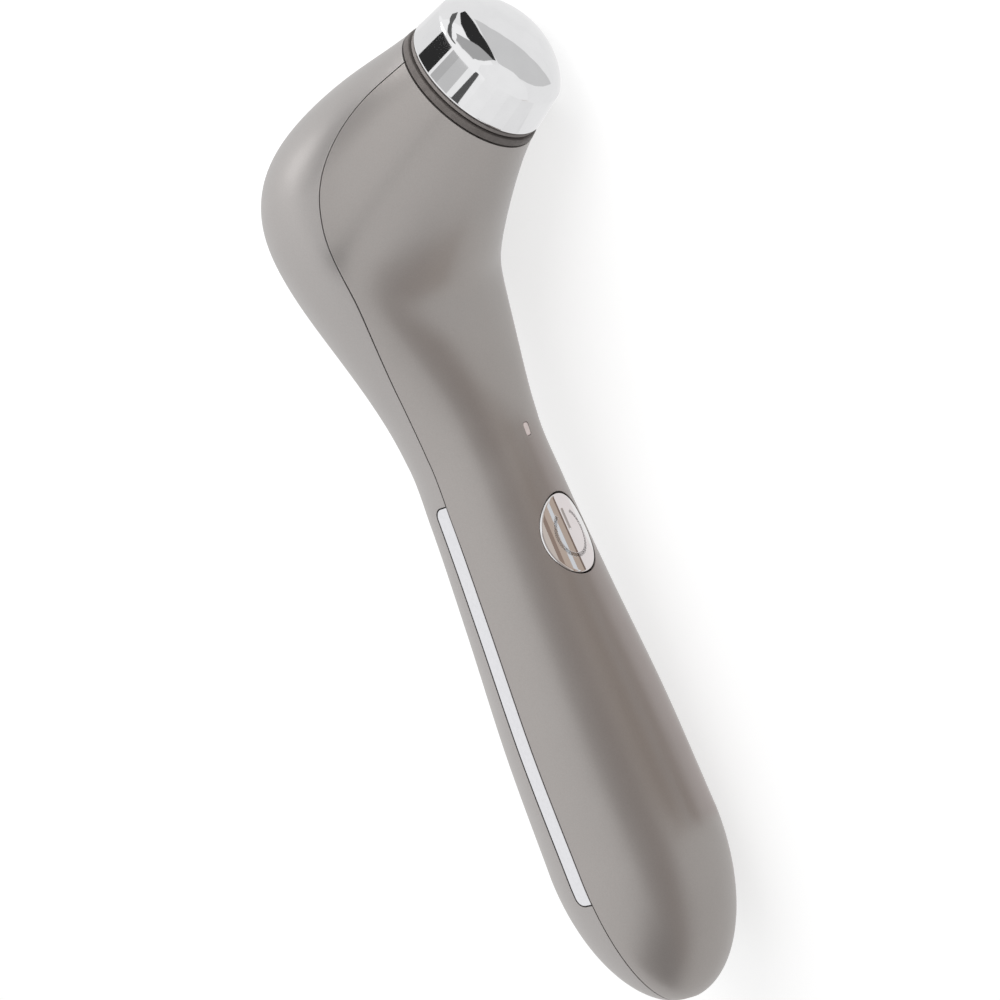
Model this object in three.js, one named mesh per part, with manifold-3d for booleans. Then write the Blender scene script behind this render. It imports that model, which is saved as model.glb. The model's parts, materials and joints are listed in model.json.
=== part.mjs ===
// Cooling facial massager: a hand-held device with a cold metal head on a bent, two-part body.
//
// Everything is in millimetres. The pieces are modelled in the product's own frame: x runs along
// the handle from the tail to the head, y points forward to the button side, and z to one side.
// The whole product is then laid down on its side, touching the table at the tail, the heel of
// the neck and the rim of the head, as it lies when it is put down.

import * as THREE from 'three';
import { mergeVertices } from 'three/addons/utils/BufferGeometryUtils.js';
import { ConvexHull } from 'three/addons/math/ConvexHull.js';
import Module from 'manifold-3d';

const wasm = await Module();
wasm.setup();

// Body, outside
const handleLength = 106.1;      // tail tip to where the neck starts to bend
const tailLength = 29.1;         // length of the rounded tail end
const tailDepth = 29.4;
const tailWidth = 36.8;
const neckDepth = 22.7;
const neckWidth = 28.3;
const heelDepth = 40;            // the neck at its fullest, measured across its own direction
const heelWidth = 47.7;
const bendLength = 55.4;         // start of the bend to the centre of the mouth, along the handle
const headReach = 25.4;          // centre of the mouth forward of the handle's axis
const headTilt = THREE.MathUtils.degToRad(66.6);
const bendStartArm = 41.4;       // how long the bend's curve holds the handle's direction
const bendEndArm = 43.4;         // and how long it holds the head's direction
const mouthDiameter = 27.1;      // where the head's trim ring sits

// Places along the handle from 0 to 1, with the share of the way from neck to tail that the depth
// and the width have there.
const handleShares = [
  [0, 1, 1],
  [0.3, 0.73, 0.88],
  [0.6, 0.3, 0.4],
  [0.85, 0.03, 0.05],
  [1, 0, 0],
];
// Places along the bend from 0 to 1, with the share of the way from neck to heel that the depth
// and the width have there, and the share of the head's tilt. At its end the bend meets the mouth.
const bendShares = [
  [0.33, 0.545, 0.96, 0.43],
  [0.66, 1.065, 1.09, 0.76],
  [0.85, 0.795, 0.49, 0.93],
];

// Walls, gaps and joints between pieces
const wall = 2.2;                // moulded shells
const seatGap = 0.3;             // between pieces that rest on each other
const shellGap = 0.3;            // the seam line between the two shells
const overrun = 1;               // how far a cut runs past what it cuts
const lipHeight = 1.8;           // tongue of the rear shell inside the front one
const lipRoot = 1.2;

// Seam between the shells, seen from the side
const seamForward = -0.9;        // forward of the handle's axis, along the straight handle
const seamEndTurn = THREE.MathUtils.degToRad(36.5); // round the mouth from its side to its back
const seamLead = 20;             // the curve takes over this far before the bend
// Where the seam runs past the bend: shares of the bend's length along the handle, and of the way
// forward from the straight seam to the centre of the mouth.
const seamShares = [
  [0.21, 0.041],
  [0.506, 0.151],
  [0.765, 0.161],
  [0.904, 0.213],
  [1.007, 0.351],
  [1.082, 0.569],
];

// Side strips, let into the rear shell against the seam
const stripStart = 24.8;
const stripEnd = 97.2;
const stripWidth = 3;
const stripDepth = 0.9;
const stripCorner = 1.6;
const stripPostCount = 4;
const stripPostRadius = 0.9;
const stripPostLength = 1.2;     // past the inside of the wall

// Head: trim ring, seal lip and the metal head on them
const trimHeight = 1.15;
const trimTaper = 0.25;
const spigotLength = 3.2;
const sealThickness = 0.55;
const sealInset = 0.35;          // the lip's edge inside the trim ring's
const headBaseRadius = 13.1;
const headTopRadius = 12.3;
const headWallHeight = 6.8;
const headDomeHeight = 6;
const headDomeLean = THREE.MathUtils.degToRad(26.5); // how far the dome leans in where it starts
const headBaseEdge = 0.35;
const skirtRadius = 10.1;
const skirtThickness = 0.7;
const headPocketHeight = 3.3;    // from the head's base to the flat that the pad presses on

// Cooling stack
const padSize = 12.6;
const padThickness = 0.5;
const moduleSize = 12;
const modulePlate = 0.7;
const modulePelletHeight = 1.6;
const modulePelletCount = 4;
const modulePelletShare = 0.5;   // how much of its pitch a pellet fills
const sinkBaseThickness = 2;
const sinkFinLength = 11;
const sinkFinCount = 6;
const sinkFinThickness = 0.9;
const sleeveThickness = 0.7;
const sleeveShelf = 0.9;
const carrierFlange = 1.4;
const ledgeThickness = 1.2;
const ledgeReach = 1.6;
const thermistorRadius = 0.65;
const thermistorLength = 2.2;

// Power button and the switch under it
const buttonStation = 84.9;
const buttonRadius = 7.3;
const buttonGap = 0.35;
const buttonTravel = 0.5;
const buttonFace = 1.8;          // thickness of the metal under its face
const buttonSkirt = 1.2;
const buttonStemRadius = 2.4;
const buttonFlange = 0.9;
const buttonFlangeReach = 0.9;
const iconRadius = 4.5;
const iconStroke = 0.75;
const iconDepth = 0.35;
const iconOpening = THREE.MathUtils.degToRad(62);
const iconBarMiddleShare = 0.55; // of the icon's radius
const iconBarLengthShare = 0.9;
const iconBarCornerShare = 0.4;  // of its stroke
const plungerRadius = 1.6;
const plungerStem = 0.9;         // shows above the switch body
const plungerRoot = 0.4;
const switchSize = 6.2;
const switchHeight = 1.9;

// Indicator
const lensStation = 104.3;
const lensLength = 2.3;
const lensWidth = 1.5;
const lensCorner = 0.5;
const lensGap = 0.15;
const lensFlange = 0.8;
const lensFlangeReach = 0.9;
const ledLength = 2;
const ledWidth = 1.25;
const ledHeight = 0.8;

// Main board
const boardSetback = 4;          // past the cell
const boardEnd = 113.5;
const boardWidth = 16;
const boardThickness = 1.2;
const boardCorner = 2;
const boardScrewInset = 2.7;
const chipSize = 5;
const chipHeight = 0.9;
const chipPlaceShare = 0.66;     // from the button to the indicator

// Cell
const cellStart = 19;
const cellLength = 48;
const cellDiameter = 14;
const cellTerminalRadius = 2.6;
const cellTerminalHeight = 0.8;
const cellPadInset = 6;
const cellPadWidth = 9;
const tabWidth = 5;
const tabThickness = 0.25;
const tabHeight = 7;

// Inner frame
const frameStart = 16.5;
const frameGap = 0.35;           // frame to the inside of the shells
const deckThickness = 1.6;
const ribThickness = 1.5;
const cellRibCount = 5;
const boardRibCount = 3;
const spineWidth = 4;
const lugWall = 1.2;
const lugThickness = 1.8;
const deckWindowLength = 4;      // where the leads pass the deck, past the board's end
const deckWindowWidth = 9;

// Screws
const screwRadius = 1;
const screwHeadRadius = 1.9;
const screwHeadHeight = 1.2;
const frameScrewLength = 5;
const boardScrewLength = 2.8;
const screwPlay = 0.3;
const bossRadius = 2.3;
const bossHeight = 3.4;          // above the inside of the rear shell's wall
const driveRadius = 1;
const driveDepth = 0.6;

// Vibration motor
const motorStart = 118.5;
const motorLength = 11.5;
const motorRadius = 4.2;
const motorBehind = 4.2;         // its axis behind the handle's axis
const motorNeckRadius = 2;
const motorNeckLength = 0.9;
const motorSleeve = 0.7;
const motorSleeveInset = 1;
const motorRibThickness = 2;
const shaftRadius = 0.75;
const shaftClearance = 0.3;
const shaftRoot = 3;
const weightRadius = 3.9;
const weightHub = 1.8;
const weightLength = 5.5;
const weightTurn = THREE.MathUtils.degToRad(66); // how it hangs when the product lies on its side

// Charging inlet at the tail
const landSetback = 1.6;
const landLength = 11;
const landWidth = 5.6;
const receptacleWidth = 8.94;
const receptacleHeight = 3.26;
const receptacleLength = 7.3;
const receptacleWall = 0.35;
const receptacleSetback = 0.5;   // behind the land
const tongueThickness = 0.7;
const tongueWidth = 6.4;
const tongueSetback = 0.8;
const inletBlock = 2;            // the insulator that the tongue stands on
const inletWallReach = 1.4;      // thicker wall round the inlet
const chargeBoardInset = 2;      // past the inlet's wall, where the tail is wide enough
const chargeBoardLength = 8;
const chargeBoardWidth = 9.4;
const chargeBoardThickness = 1;
const shelfThickness = 1.6;
const shelfPlaceShares = [0.3, 0.85];

// Leads
const leadRadius = 0.45;
const leadPitch = 1.5;
const leadSides = 6;
const leadStep = 2.2;
const leadStepsLeast = 4;
const leadLift = 0.8;            // above the deck
const leadTurn = 3;              // room to come round to the side of the cell
const neckLeadHeight = 3.4;      // over the motor
const neckLeadReach = 9;         // behind the head's axis, below the fins

// Facets
const bodySides = 36;
const frameSides = 20;
const tailSteps = 6;
const handleSteps = 7;
const bendSteps = 12;
const curveSegments = 5;
const headSides = 40;
const roundSides = 24;
const smallSides = 12;
const domeSteps = 10;
const seamSteps = 24;
const weldDistance = 1e-4;

// Density in grams per cubic millimetre, for the way the product lies
const plasticDensity = 0.0011;
const metalDensity = 0.0027;

// Solids and meshes

function solidOf(geometry) {
  const plain = geometry.clone();
  plain.deleteAttribute('normal');
  plain.deleteAttribute('uv');
  const merged = mergeVertices(plain, weldDistance);
  const corners = merged.index.array;
  const kept = [];
  for (let i = 0; i < corners.length; i += 3) {
    const [a, b, c] = [corners[i], corners[i + 1], corners[i + 2]];
    if (a !== b && b !== c && c !== a) kept.push(a, b, c);
  }
  return new wasm.Manifold(new wasm.Mesh({
    numProp: 3,
    vertProperties: Float32Array.from(merged.attributes.position.array),
    triVerts: Uint32Array.from(kept),
  }));
}

function geometryOf(solid) {
  const mesh = solid.getMesh();
  const geometry = new THREE.BufferGeometry();
  geometry.setAttribute('position', new THREE.Float32BufferAttribute(mesh.vertProperties, 3));
  geometry.setIndex(Array.from(mesh.triVerts));
  geometry.computeVertexNormals();
  return geometry;
}

function union(solids) {
  return solids.reduce((whole, solid) => whole.add(solid));
}

const densities = new Map();

function material(color, roughness, metalness, density = plasticDensity) {
  const made = new THREE.MeshStandardMaterial({ color, roughness, metalness });
  densities.set(made, density);
  return made;
}

const materials = {
  frontPaint: material(0x9c9691, 0.42, 0.35),
  rearPaint: material(0xb3afab, 0.4, 0.4),
  chrome: material(0xe6e6e6, 0.06, 1, metalDensity),
  stripMetal: material(0xe0e0e2, 0.18, 0.9, metalDensity),
  trim: material(0x55504e, 0.55, 0),
  seal: material(0x7f7a76, 0.6, 0),
  blackPlastic: material(0x26262a, 0.6, 0),
  framePlastic: material(0xcfcfca, 0.65, 0),
  lens: material(0xf4e6e4, 0.2, 0),
  aluminium: material(0xb8bbbf, 0.35, 1, metalDensity),
  ceramic: material(0xf2f0ea, 0.5, 0, metalDensity),
  thermalPad: material(0x8c9aa8, 0.8, 0),
  board: material(0x2c6b48, 0.5, 0),
  cellWrap: material(0x3f7fb5, 0.4, 0, metalDensity),
  foam: material(0x3a3a3c, 0.95, 0),
  steel: material(0xa9abad, 0.3, 1, metalDensity),
  redLead: material(0xb82a2a, 0.5, 0),
  blackLead: material(0x1f1f22, 0.5, 0),
  whiteLead: material(0xe4e2dc, 0.5, 0),
};

const product = new THREE.Group();
const headGroup = new THREE.Group();
product.add(headGroup);

function addPiece(name, solid, finish, parent = product) {
  const mesh = new THREE.Mesh(geometryOf(solid), finish);
  mesh.name = name;
  parent.add(mesh);
  return mesh;
}

// A box from its lowest to its highest corner.
function box(low, high) {
  const geometry = new THREE.BoxGeometry(high[0] - low[0], high[1] - low[1], high[2] - low[2]);
  geometry.translate((low[0] + high[0]) / 2, (low[1] + high[1]) / 2, (low[2] + high[2]) / 2);
  return solidOf(geometry);
}

// A profile of [radius, height] points, from the bottom up, turned round an axis along y.
function turned(profile, sides) {
  const points = profile.map(([radius, height]) => new THREE.Vector2(radius, height));
  return new THREE.LatheGeometry(points, sides);
}

function barProfile(radius, start, end) {
  return [[0, start], [radius, start], [radius, end], [0, end]];
}

function tubeProfile(inner, outer, start, end) {
  return [[inner, start], [outer, start], [outer, end], [inner, end], [inner, start]];
}

function turnedAlongX(profile, y, z, sides = smallSides) {
  const geometry = turned(profile, sides);
  geometry.rotateZ(-Math.PI / 2);
  geometry.translate(0, y, z);
  return solidOf(geometry);
}

function turnedAlongY(profile, x, z, sides = smallSides) {
  const geometry = turned(profile, sides);
  geometry.translate(x, 0, z);
  return solidOf(geometry);
}

function turnedAlongZ(profile, x, y, sides = smallSides) {
  const geometry = turned(profile, sides);
  geometry.rotateX(Math.PI / 2);
  geometry.translate(x, y, 0);
  return solidOf(geometry);
}

function extruded(shape, length) {
  return new THREE.ExtrudeGeometry(shape, { depth: length, bevelEnabled: false, curveSegments });
}

// An outline with z across and y up, extruded along x.
function prismAlongX(shape, start, end) {
  const geometry = extruded(shape, end - start);
  geometry.rotateY(Math.PI / 2);
  geometry.translate(start, 0, 0);
  return solidOf(geometry);
}

// An outline with x across and z up, extruded along y.
function prismAlongY(shape, start, end) {
  const geometry = extruded(shape, end - start);
  geometry.rotateX(Math.PI / 2);
  geometry.translate(0, end, 0);
  return solidOf(geometry);
}

// An outline with x across and y up, extruded along z.
function prismAlongZ(shape, start, end) {
  const geometry = extruded(shape, end - start);
  geometry.translate(0, 0, start);
  return solidOf(geometry);
}

function roundedRectangle(centreX, centreY, length, width, corner) {
  const left = centreX - length / 2;
  const right = centreX + length / 2;
  const low = centreY - width / 2;
  const high = centreY + width / 2;
  const quarter = Math.PI / 2;
  const shape = new THREE.Shape();
  shape.absarc(right - corner, low + corner, corner, -quarter, 0, false);
  shape.absarc(right - corner, high - corner, corner, 0, quarter, false);
  shape.absarc(left + corner, high - corner, corner, quarter, 2 * quarter, false);
  shape.absarc(left + corner, low + corner, corner, 2 * quarter, 3 * quarter, false);
  return shape;
}

// Sections of the body

const profileTimes = [];
const profileSizes = [];

function addProfile(time, depth, width, lean) {
  profileTimes.push(time);
  profileSizes.push(depth / 2, width / 2, lean);
}

for (const [place, depthShare, widthShare] of handleShares) {
  const depth = THREE.MathUtils.lerp(neckDepth, tailDepth, depthShare);
  const width = THREE.MathUtils.lerp(neckWidth, tailWidth, widthShare);
  addProfile(place, depth, width, 0);
}
for (const [place, depthShare, widthShare, leanShare] of bendShares) {
  const depth = THREE.MathUtils.lerp(neckDepth, heelDepth, depthShare);
  const width = THREE.MathUtils.lerp(neckWidth, heelWidth, widthShare);
  addProfile(1 + place, depth, width, leanShare * headTilt);
}
addProfile(2, mouthDiameter, mouthDiameter, headTilt);

const bodyProfile = new THREE.CubicInterpolant(profileTimes, profileSizes, 3);

const mouthCentre = new THREE.Vector2(handleLength + bendLength, headReach);
const headDirection = new THREE.Vector2(Math.cos(headTilt), Math.sin(headTilt));
const bendCurve = new THREE.CubicBezierCurve(
  new THREE.Vector2(handleLength, 0),
  new THREE.Vector2(handleLength + bendStartArm, 0),
  mouthCentre.clone().addScaledVector(headDirection, -bendEndArm),
  mouthCentre,
);

// A section of the body: its centre, how far it leans forward, and its half sizes. Time runs from
// -1 at the tail tip through 0 and 1 at the ends of the straight handle to 2 at the mouth.
function sectionAt(time, inset) {
  const [halfDepth, halfWidth, lean] = bodyProfile.evaluate(Math.max(time, 0));
  const section = { x: 0, y: 0, lean: 0, depth: halfDepth - inset, width: halfWidth - inset };
  if (time < 0) {
    const turn = (1 + time) * Math.PI / 2;
    section.x = tailLength - (tailLength - inset) * Math.cos(turn);
    section.depth *= Math.sin(turn);
    section.width *= Math.sin(turn);
  } else if (time <= 1) {
    section.x = THREE.MathUtils.lerp(tailLength, handleLength, time);
  } else {
    const point = bendCurve.getPoint(time - 1);
    section.x = point.x;
    section.y = point.y;
    section.lean = lean;
  }
  return section;
}

function sectionPoint(section, turn) {
  const forward = section.depth * Math.cos(turn);
  return [
    section.x - Math.sin(section.lean) * forward,
    section.y + Math.cos(section.lean) * forward,
    section.width * Math.sin(turn),
  ];
}

// The section of the straight handle or tail at a place along it.
function handleSection(x, inset) {
  if (x < tailLength) {
    const turn = Math.acos((tailLength - x) / (tailLength - inset));
    return sectionAt(turn * 2 / Math.PI - 1, inset);
  }
  return sectionAt((x - tailLength) / (handleLength - tailLength), inset);
}

// How far forward the surface at an inset stands, at a place and a distance to the side.
function skinForward(x, side, inset) {
  const section = handleSection(x, inset);
  return section.depth * Math.sqrt(1 - (side / section.width) ** 2);
}

// How far to the side it stands, at a place and a height forward.
function skinSide(x, forward, inset) {
  const section = handleSection(x, inset);
  return section.width * Math.sqrt(1 - (forward / section.depth) ** 2);
}

function loftTimes() {
  const times = [];
  for (let i = 1; i < tailSteps; i += 1) times.push(i / tailSteps - 1);
  for (let i = 0; i < handleSteps; i += 1) times.push(i / handleSteps);
  for (let i = 0; i <= bendSteps; i += 1) times.push(1 + i / bendSteps);
  return times;
}

// The body as a closed loft, taken in by an inset all round. It can run past the mouth.
function bodyLoft(inset, extension = 0, sides = bodySides) {
  const rings = loftTimes().map((time) => sectionAt(time, inset));
  if (extension > 0) {
    const mouth = rings[rings.length - 1];
    rings.push({
      ...mouth,
      x: mouth.x + headDirection.x * extension,
      y: mouth.y + headDirection.y * extension,
    });
  }
  const last = rings[rings.length - 1];
  const positions = [inset, 0, 0];
  for (const ring of rings) {
    for (let i = 0; i < sides; i += 1) {
      positions.push(...sectionPoint(ring, i / sides * Math.PI * 2));
    }
  }
  positions.push(last.x, last.y, 0);

  const index = [];
  const vertex = (ring, side) => 1 + ring * sides + side % sides;
  const end = 1 + rings.length * sides;
  for (let i = 0; i < sides; i += 1) {
    index.push(0, vertex(0, i + 1), vertex(0, i));
    index.push(end, vertex(rings.length - 1, i), vertex(rings.length - 1, i + 1));
    for (let ring = 0; ring + 1 < rings.length; ring += 1) {
      index.push(vertex(ring, i), vertex(ring + 1, i + 1), vertex(ring + 1, i));
      index.push(vertex(ring, i), vertex(ring, i + 1), vertex(ring + 1, i + 1));
    }
  }
  const geometry = new THREE.BufferGeometry();
  geometry.setAttribute('position', new THREE.Float32BufferAttribute(positions, 3));
  geometry.setIndex(index);
  return solidOf(geometry);
}

// The head's own frame: z outward along the head, x to the product's side, from the mouth's centre.
const headPlacement = new THREE.Matrix4().makeBasis(
  new THREE.Vector3(0, 0, 1),
  new THREE.Vector3(headDirection.y, -headDirection.x, 0),
  new THREE.Vector3(headDirection.x, headDirection.y, 0),
).setPosition(mouthCentre.x, mouthCentre.y, 0);
headGroup.applyMatrix4(headPlacement);

function turnedInHead(profile, sides = roundSides) {
  return turnedAlongZ(profile, 0, 0, sides);
}

function fromHead(x, y, z) {
  return new THREE.Vector3(x, y, z).applyMatrix4(headPlacement);
}

// Seam

function seamPoints() {
  const acrossMouth = mouthDiameter / 2 * Math.sin(seamEndTurn);
  const end = new THREE.Vector2(
    mouthCentre.x + headDirection.y * acrossMouth,
    mouthCentre.y - headDirection.x * acrossMouth,
  );
  const bend = new THREE.SplineCurve([
    new THREE.Vector2(handleLength - seamLead, seamForward),
    new THREE.Vector2(handleLength, seamForward),
    ...seamShares.map(([along, forward]) => new THREE.Vector2(
      handleLength + along * bendLength,
      THREE.MathUtils.lerp(seamForward, headReach, forward),
    )),
    end,
  ]);
  return [
    new THREE.Vector2(-tailLength, seamForward),
    ...bend.getPoints(seamSteps),
    end.clone().addScaledVector(headDirection, tailLength),
  ];
}

// The seam moved forward by a distance, square to itself.
function shiftedSeam(distance) {
  const points = seamPoints();
  return points.map((point, i) => {
    const before = points[Math.max(i - 1, 0)];
    const after = points[Math.min(i + 1, points.length - 1)];
    const along = after.clone().sub(before).normalize();
    return new THREE.Vector2(point.x - along.y * distance, point.y + along.x * distance);
  });
}

// Everything between two lines along the seam.
function seamBand(from, to) {
  const outline = [...shiftedSeam(from), ...shiftedSeam(to).reverse()];
  return prismAlongZ(new THREE.Shape(outline), -heelWidth, heelWidth);
}

// Everything behind a line along the seam.
function behindSeam(distance) {
  const line = shiftedSeam(distance);
  const first = line[0];
  const last = line[line.length - 1];
  const outline = [
    ...line,
    new THREE.Vector2(last.x + 2 * heelDepth, last.y),
    new THREE.Vector2(last.x + 2 * heelDepth, -2 * heelDepth),
    new THREE.Vector2(first.x, -2 * heelDepth),
  ];
  return prismAlongZ(new THREE.Shape(outline), -heelWidth, heelWidth);
}

// Ends of the cell and the board along the handle

const cellEnd = cellStart + cellLength;
const boardStart = cellEnd + boardSetback;

// Heights of what is stacked under the button

const flangeRadius = buttonRadius + buttonFlangeReach;
const flangeTop = skinForward(buttonStation, flangeRadius, wall) - seatGap;
const flangeBottom = flangeTop - buttonFlange;
const plungerTop = flangeBottom - seatGap;
const switchTop = plungerTop - plungerStem;
const boardTop = switchTop - switchHeight - seatGap;
const boardBottom = boardTop - boardThickness;
const deckTop = boardBottom - seatGap;
const deckBottom = deckTop - deckThickness;

// Heights of what is stacked on the mouth, along the head

const trimTop = seatGap + trimHeight;
const spigotBottom = seatGap - spigotLength;
const sealBottom = trimTop + seatGap;
const sealTop = sealBottom + sealThickness;
const headBase = sealTop + seatGap;
const headWallTop = headBase + headWallHeight;
const carrierTop = spigotBottom - seatGap;
const carrierBottom = carrierTop - carrierFlange;
const ledgeTop = carrierBottom - seatGap;
const ledgeBottom = ledgeTop - ledgeThickness;
const skirtBottom = carrierTop + seatGap;
const padSeat = headBase + headPocketHeight;
const padBottom = padSeat - seatGap - padThickness;
const moduleTop = padBottom - seatGap;
const moduleBottom = moduleTop - 2 * modulePlate - modulePelletHeight;
const sinkTop = moduleBottom - seatGap;
const sinkBaseBottom = sinkTop - sinkBaseThickness;
const sinkBottom = sinkBaseBottom - sinkFinLength;

// Radii there, from the shells' mouth inward

const mouthInner = mouthDiameter / 2 - wall;
const spigotRadius = mouthInner - seatGap;
const trimInner = skirtRadius + seatGap;
const skirtInner = skirtRadius - skirtThickness;
const sleeveOuter = skirtInner - seatGap;
const sleeveInner = sleeveOuter - sleeveThickness;
const shelfInner = sleeveInner - sleeveShelf;
const sinkRadius = sleeveInner - seatGap;
const finRadius = shelfInner - seatGap;

// Charging inlet: a flat land let into the tail, and a passage for the receptacle

const receptacleStart = landSetback + receptacleSetback;
const receptacleEnd = receptacleStart + receptacleLength;
const inletWallEnd = landSetback + wall;

function inletOutline(grow) {
  const length = receptacleWidth + 2 * grow;
  const width = receptacleHeight + 2 * grow;
  return roundedRectangle(0, seamForward, length, width, width / 2);
}
const landOutline = roundedRectangle(0, seamForward, landLength, landWidth, landWidth / 2);
const landPocket = prismAlongX(landOutline, -overrun, landSetback);
const inletPassage = prismAlongX(inletOutline(seatGap), -overrun, inletWallEnd + overrun);
const inletSurround = prismAlongX(
  inletOutline(seatGap + inletWallReach), landSetback, inletWallEnd,
);

// Walls of both shells, before they are split

const outerBody = bodyLoft(0);
const midBody = bodyLoft(wall / 2);
const cavity = bodyLoft(wall, overrun);

const mouthLedge = solidOf(
  turned(tubeProfile(mouthInner - ledgeReach, mouthDiameter / 2, ledgeBottom, ledgeTop), roundSides)
    .rotateX(Math.PI / 2)
    .applyMatrix4(headPlacement),
);

const shellWalls = outerBody
  .subtract(cavity)
  .add(mouthLedge.add(inletSurround).intersect(midBody))
  .subtract(landPocket)
  .subtract(inletPassage);

// A tongue of the rear shell runs along the seam, in a rebate inside the front shell.
const tongue = bodyLoft(wall / 2 + seatGap / 2, overrun)
  .subtract(cavity)
  .intersect(seamBand(-lipRoot, lipHeight))
  .subtract(landPocket)
  .subtract(inletPassage)
  .intersect(outerBody);
const rebate = bodyLoft(wall / 2 - seatGap / 2, overrun)
  .subtract(bodyLoft(wall + overrun, 2 * overrun))
  .intersect(seamBand(-lipRoot, lipHeight + seatGap));

// Screw bosses of the rear shell, and the frame's lugs over them

const floorBehind = (x) => -skinForward(x, 0, wall);
const boardRibPitch = (boardEnd - boardStart) / boardRibCount;
const frameScrews = [];
for (let i = 1; i < boardRibCount; i += 1) {
  const x = boardStart + i * boardRibPitch;
  const bossTop = floorBehind(x) + bossHeight;
  const lugBottom = bossTop + seatGap;
  const lugTop = lugBottom + lugThickness;
  frameScrews.push({ x, bossTop, lugBottom, lugTop, seat: lugTop + seatGap });
}

const bosses = frameScrews.map(({ x, bossTop, seat }) => {
  const boss = turnedAlongY(barProfile(bossRadius, -heelDepth, bossTop), x, 0);
  const holeBottom = seat - frameScrewLength - seatGap;
  const hole = barProfile(screwRadius + screwPlay, holeBottom, bossTop + overrun);
  return boss.intersect(midBody).subtract(turnedAlongY(hole, x, 0));
});

// Shelves of the rear shell for the charging board

const chargeBoardTop = seamForward - receptacleHeight / 2 - seatGap;
const chargeBoardBottom = chargeBoardTop - chargeBoardThickness;
const chargeBoardStart = inletWallEnd + chargeBoardInset;
const chargeBoardEnd = chargeBoardStart + chargeBoardLength;

const shelves = shelfPlaceShares.map((share) => {
  const x = THREE.MathUtils.lerp(chargeBoardStart, chargeBoardEnd, share);
  return box(
    [x - shelfThickness / 2, -tailDepth, -chargeBoardWidth / 2],
    [x + shelfThickness / 2, chargeBoardBottom - seatGap, chargeBoardWidth / 2],
  ).intersect(midBody);
});

// Side strips with their posts, and the pockets that hold them

const stripFront = seamForward - shellGap / 2;
const stripCore = bodyLoft(stripDepth);
const pocketCore = bodyLoft(stripDepth + seatGap);

// The strip's outline seen from the side, grown by a distance: square to the seam, round behind.
function stripPrism(grow, side) {
  const start = stripStart - grow;
  const end = stripEnd + grow;
  const front = stripFront + grow;
  const back = stripFront - stripWidth - grow;
  const corner = stripCorner + grow;
  const shape = new THREE.Shape();
  shape.moveTo(start, front);
  shape.lineTo(start, back + corner);
  shape.absarc(start + corner, back + corner, corner, Math.PI, Math.PI * 1.5, false);
  shape.absarc(end - corner, back + corner, corner, Math.PI * 1.5, Math.PI * 2, false);
  shape.lineTo(end, front);
  return prismAlongZ(shape, ...sideRange(0, heelWidth, side));
}

function sideRange(inner, outer, side) {
  return side > 0 ? [inner, outer] : [-outer, -inner];
}

function stripPosts(side, radius, inward) {
  const posts = [];
  const pitch = (stripEnd - stripStart) / stripPostCount;
  for (let i = 0; i < stripPostCount; i += 1) {
    const x = stripStart + (i + 0.5) * pitch;
    const y = stripFront - stripWidth / 2;
    const inner = skinSide(x, y, wall) - inward;
    const outer = skinSide(x, y, stripDepth / 2);
    posts.push(turnedAlongZ(barProfile(radius, ...sideRange(inner, outer, side)), x, y));
  }
  return union(posts);
}

function sideStrip(side) {
  return stripPrism(0, side)
    .intersect(outerBody)
    .subtract(stripCore)
    .add(stripPosts(side, stripPostRadius, stripPostLength));
}

function stripPocket(side) {
  return stripPrism(shellGap / 2, side)
    .subtract(pocketCore)
    .add(stripPosts(side, stripPostRadius + seatGap, stripPostLength + overrun));
}

addPiece('rear_shell', shellWalls
  .add(union([...bosses, ...shelves]))
  .intersect(behindSeam(-shellGap / 2))
  .add(tongue)
  .subtract(stripPocket(1))
  .subtract(stripPocket(-1)), materials.rearPaint);

const buttonBore = turnedAlongY(
  barProfile(buttonRadius + buttonGap, 0, tailDepth), buttonStation, 0, roundSides,
);

function lensOutline(grow) {
  const length = lensLength + 2 * grow;
  const width = lensWidth + 2 * grow;
  return roundedRectangle(lensStation, 0, length, width, lensCorner + grow);
}

addPiece('front_shell', shellWalls
  .subtract(behindSeam(shellGap / 2))
  .subtract(rebate)
  .subtract(buttonBore)
  .subtract(prismAlongY(lensOutline(lensGap), 0, tailDepth)), materials.frontPaint);

addPiece('side_strip_left', sideStrip(1), materials.stripMetal);
addPiece('side_strip_right', sideStrip(-1), materials.stripMetal);

// Head: trim ring with its spigot in the shells' mouth, seal lip, and the metal head

const trimRadius = mouthDiameter / 2;
addPiece('head_trim_ring', turnedInHead([
  [trimInner, spigotBottom],
  [spigotRadius, spigotBottom],
  [spigotRadius, seatGap],
  [trimRadius, seatGap],
  [trimRadius - trimTaper, trimTop],
  [trimInner, trimTop],
  [trimInner, spigotBottom],
], headSides), materials.trim, headGroup);

addPiece('head_seal', turnedInHead([
  [trimInner, sealBottom],
  [trimRadius - trimTaper - sealInset, sealBottom],
  [headBaseRadius - headBaseEdge, sealTop],
  [trimInner, sealTop],
  [trimInner, sealBottom],
], headSides), materials.seal, headGroup);

// The dome is the upper part of an ellipse, from where it leans in at the wall's top.
function domeProfile() {
  const spread = headTopRadius / Math.cos(headDomeLean);
  const rise = headDomeHeight / (1 - Math.sin(headDomeLean));
  const points = [];
  for (let i = 0; i < domeSteps; i += 1) {
    const turn = THREE.MathUtils.lerp(headDomeLean, Math.PI / 2, i / domeSteps);
    const height = rise * (Math.sin(turn) - Math.sin(headDomeLean));
    points.push([spread * Math.cos(turn), headWallTop + height]);
  }
  points.push([0, headWallTop + headDomeHeight]);
  return points;
}

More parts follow.
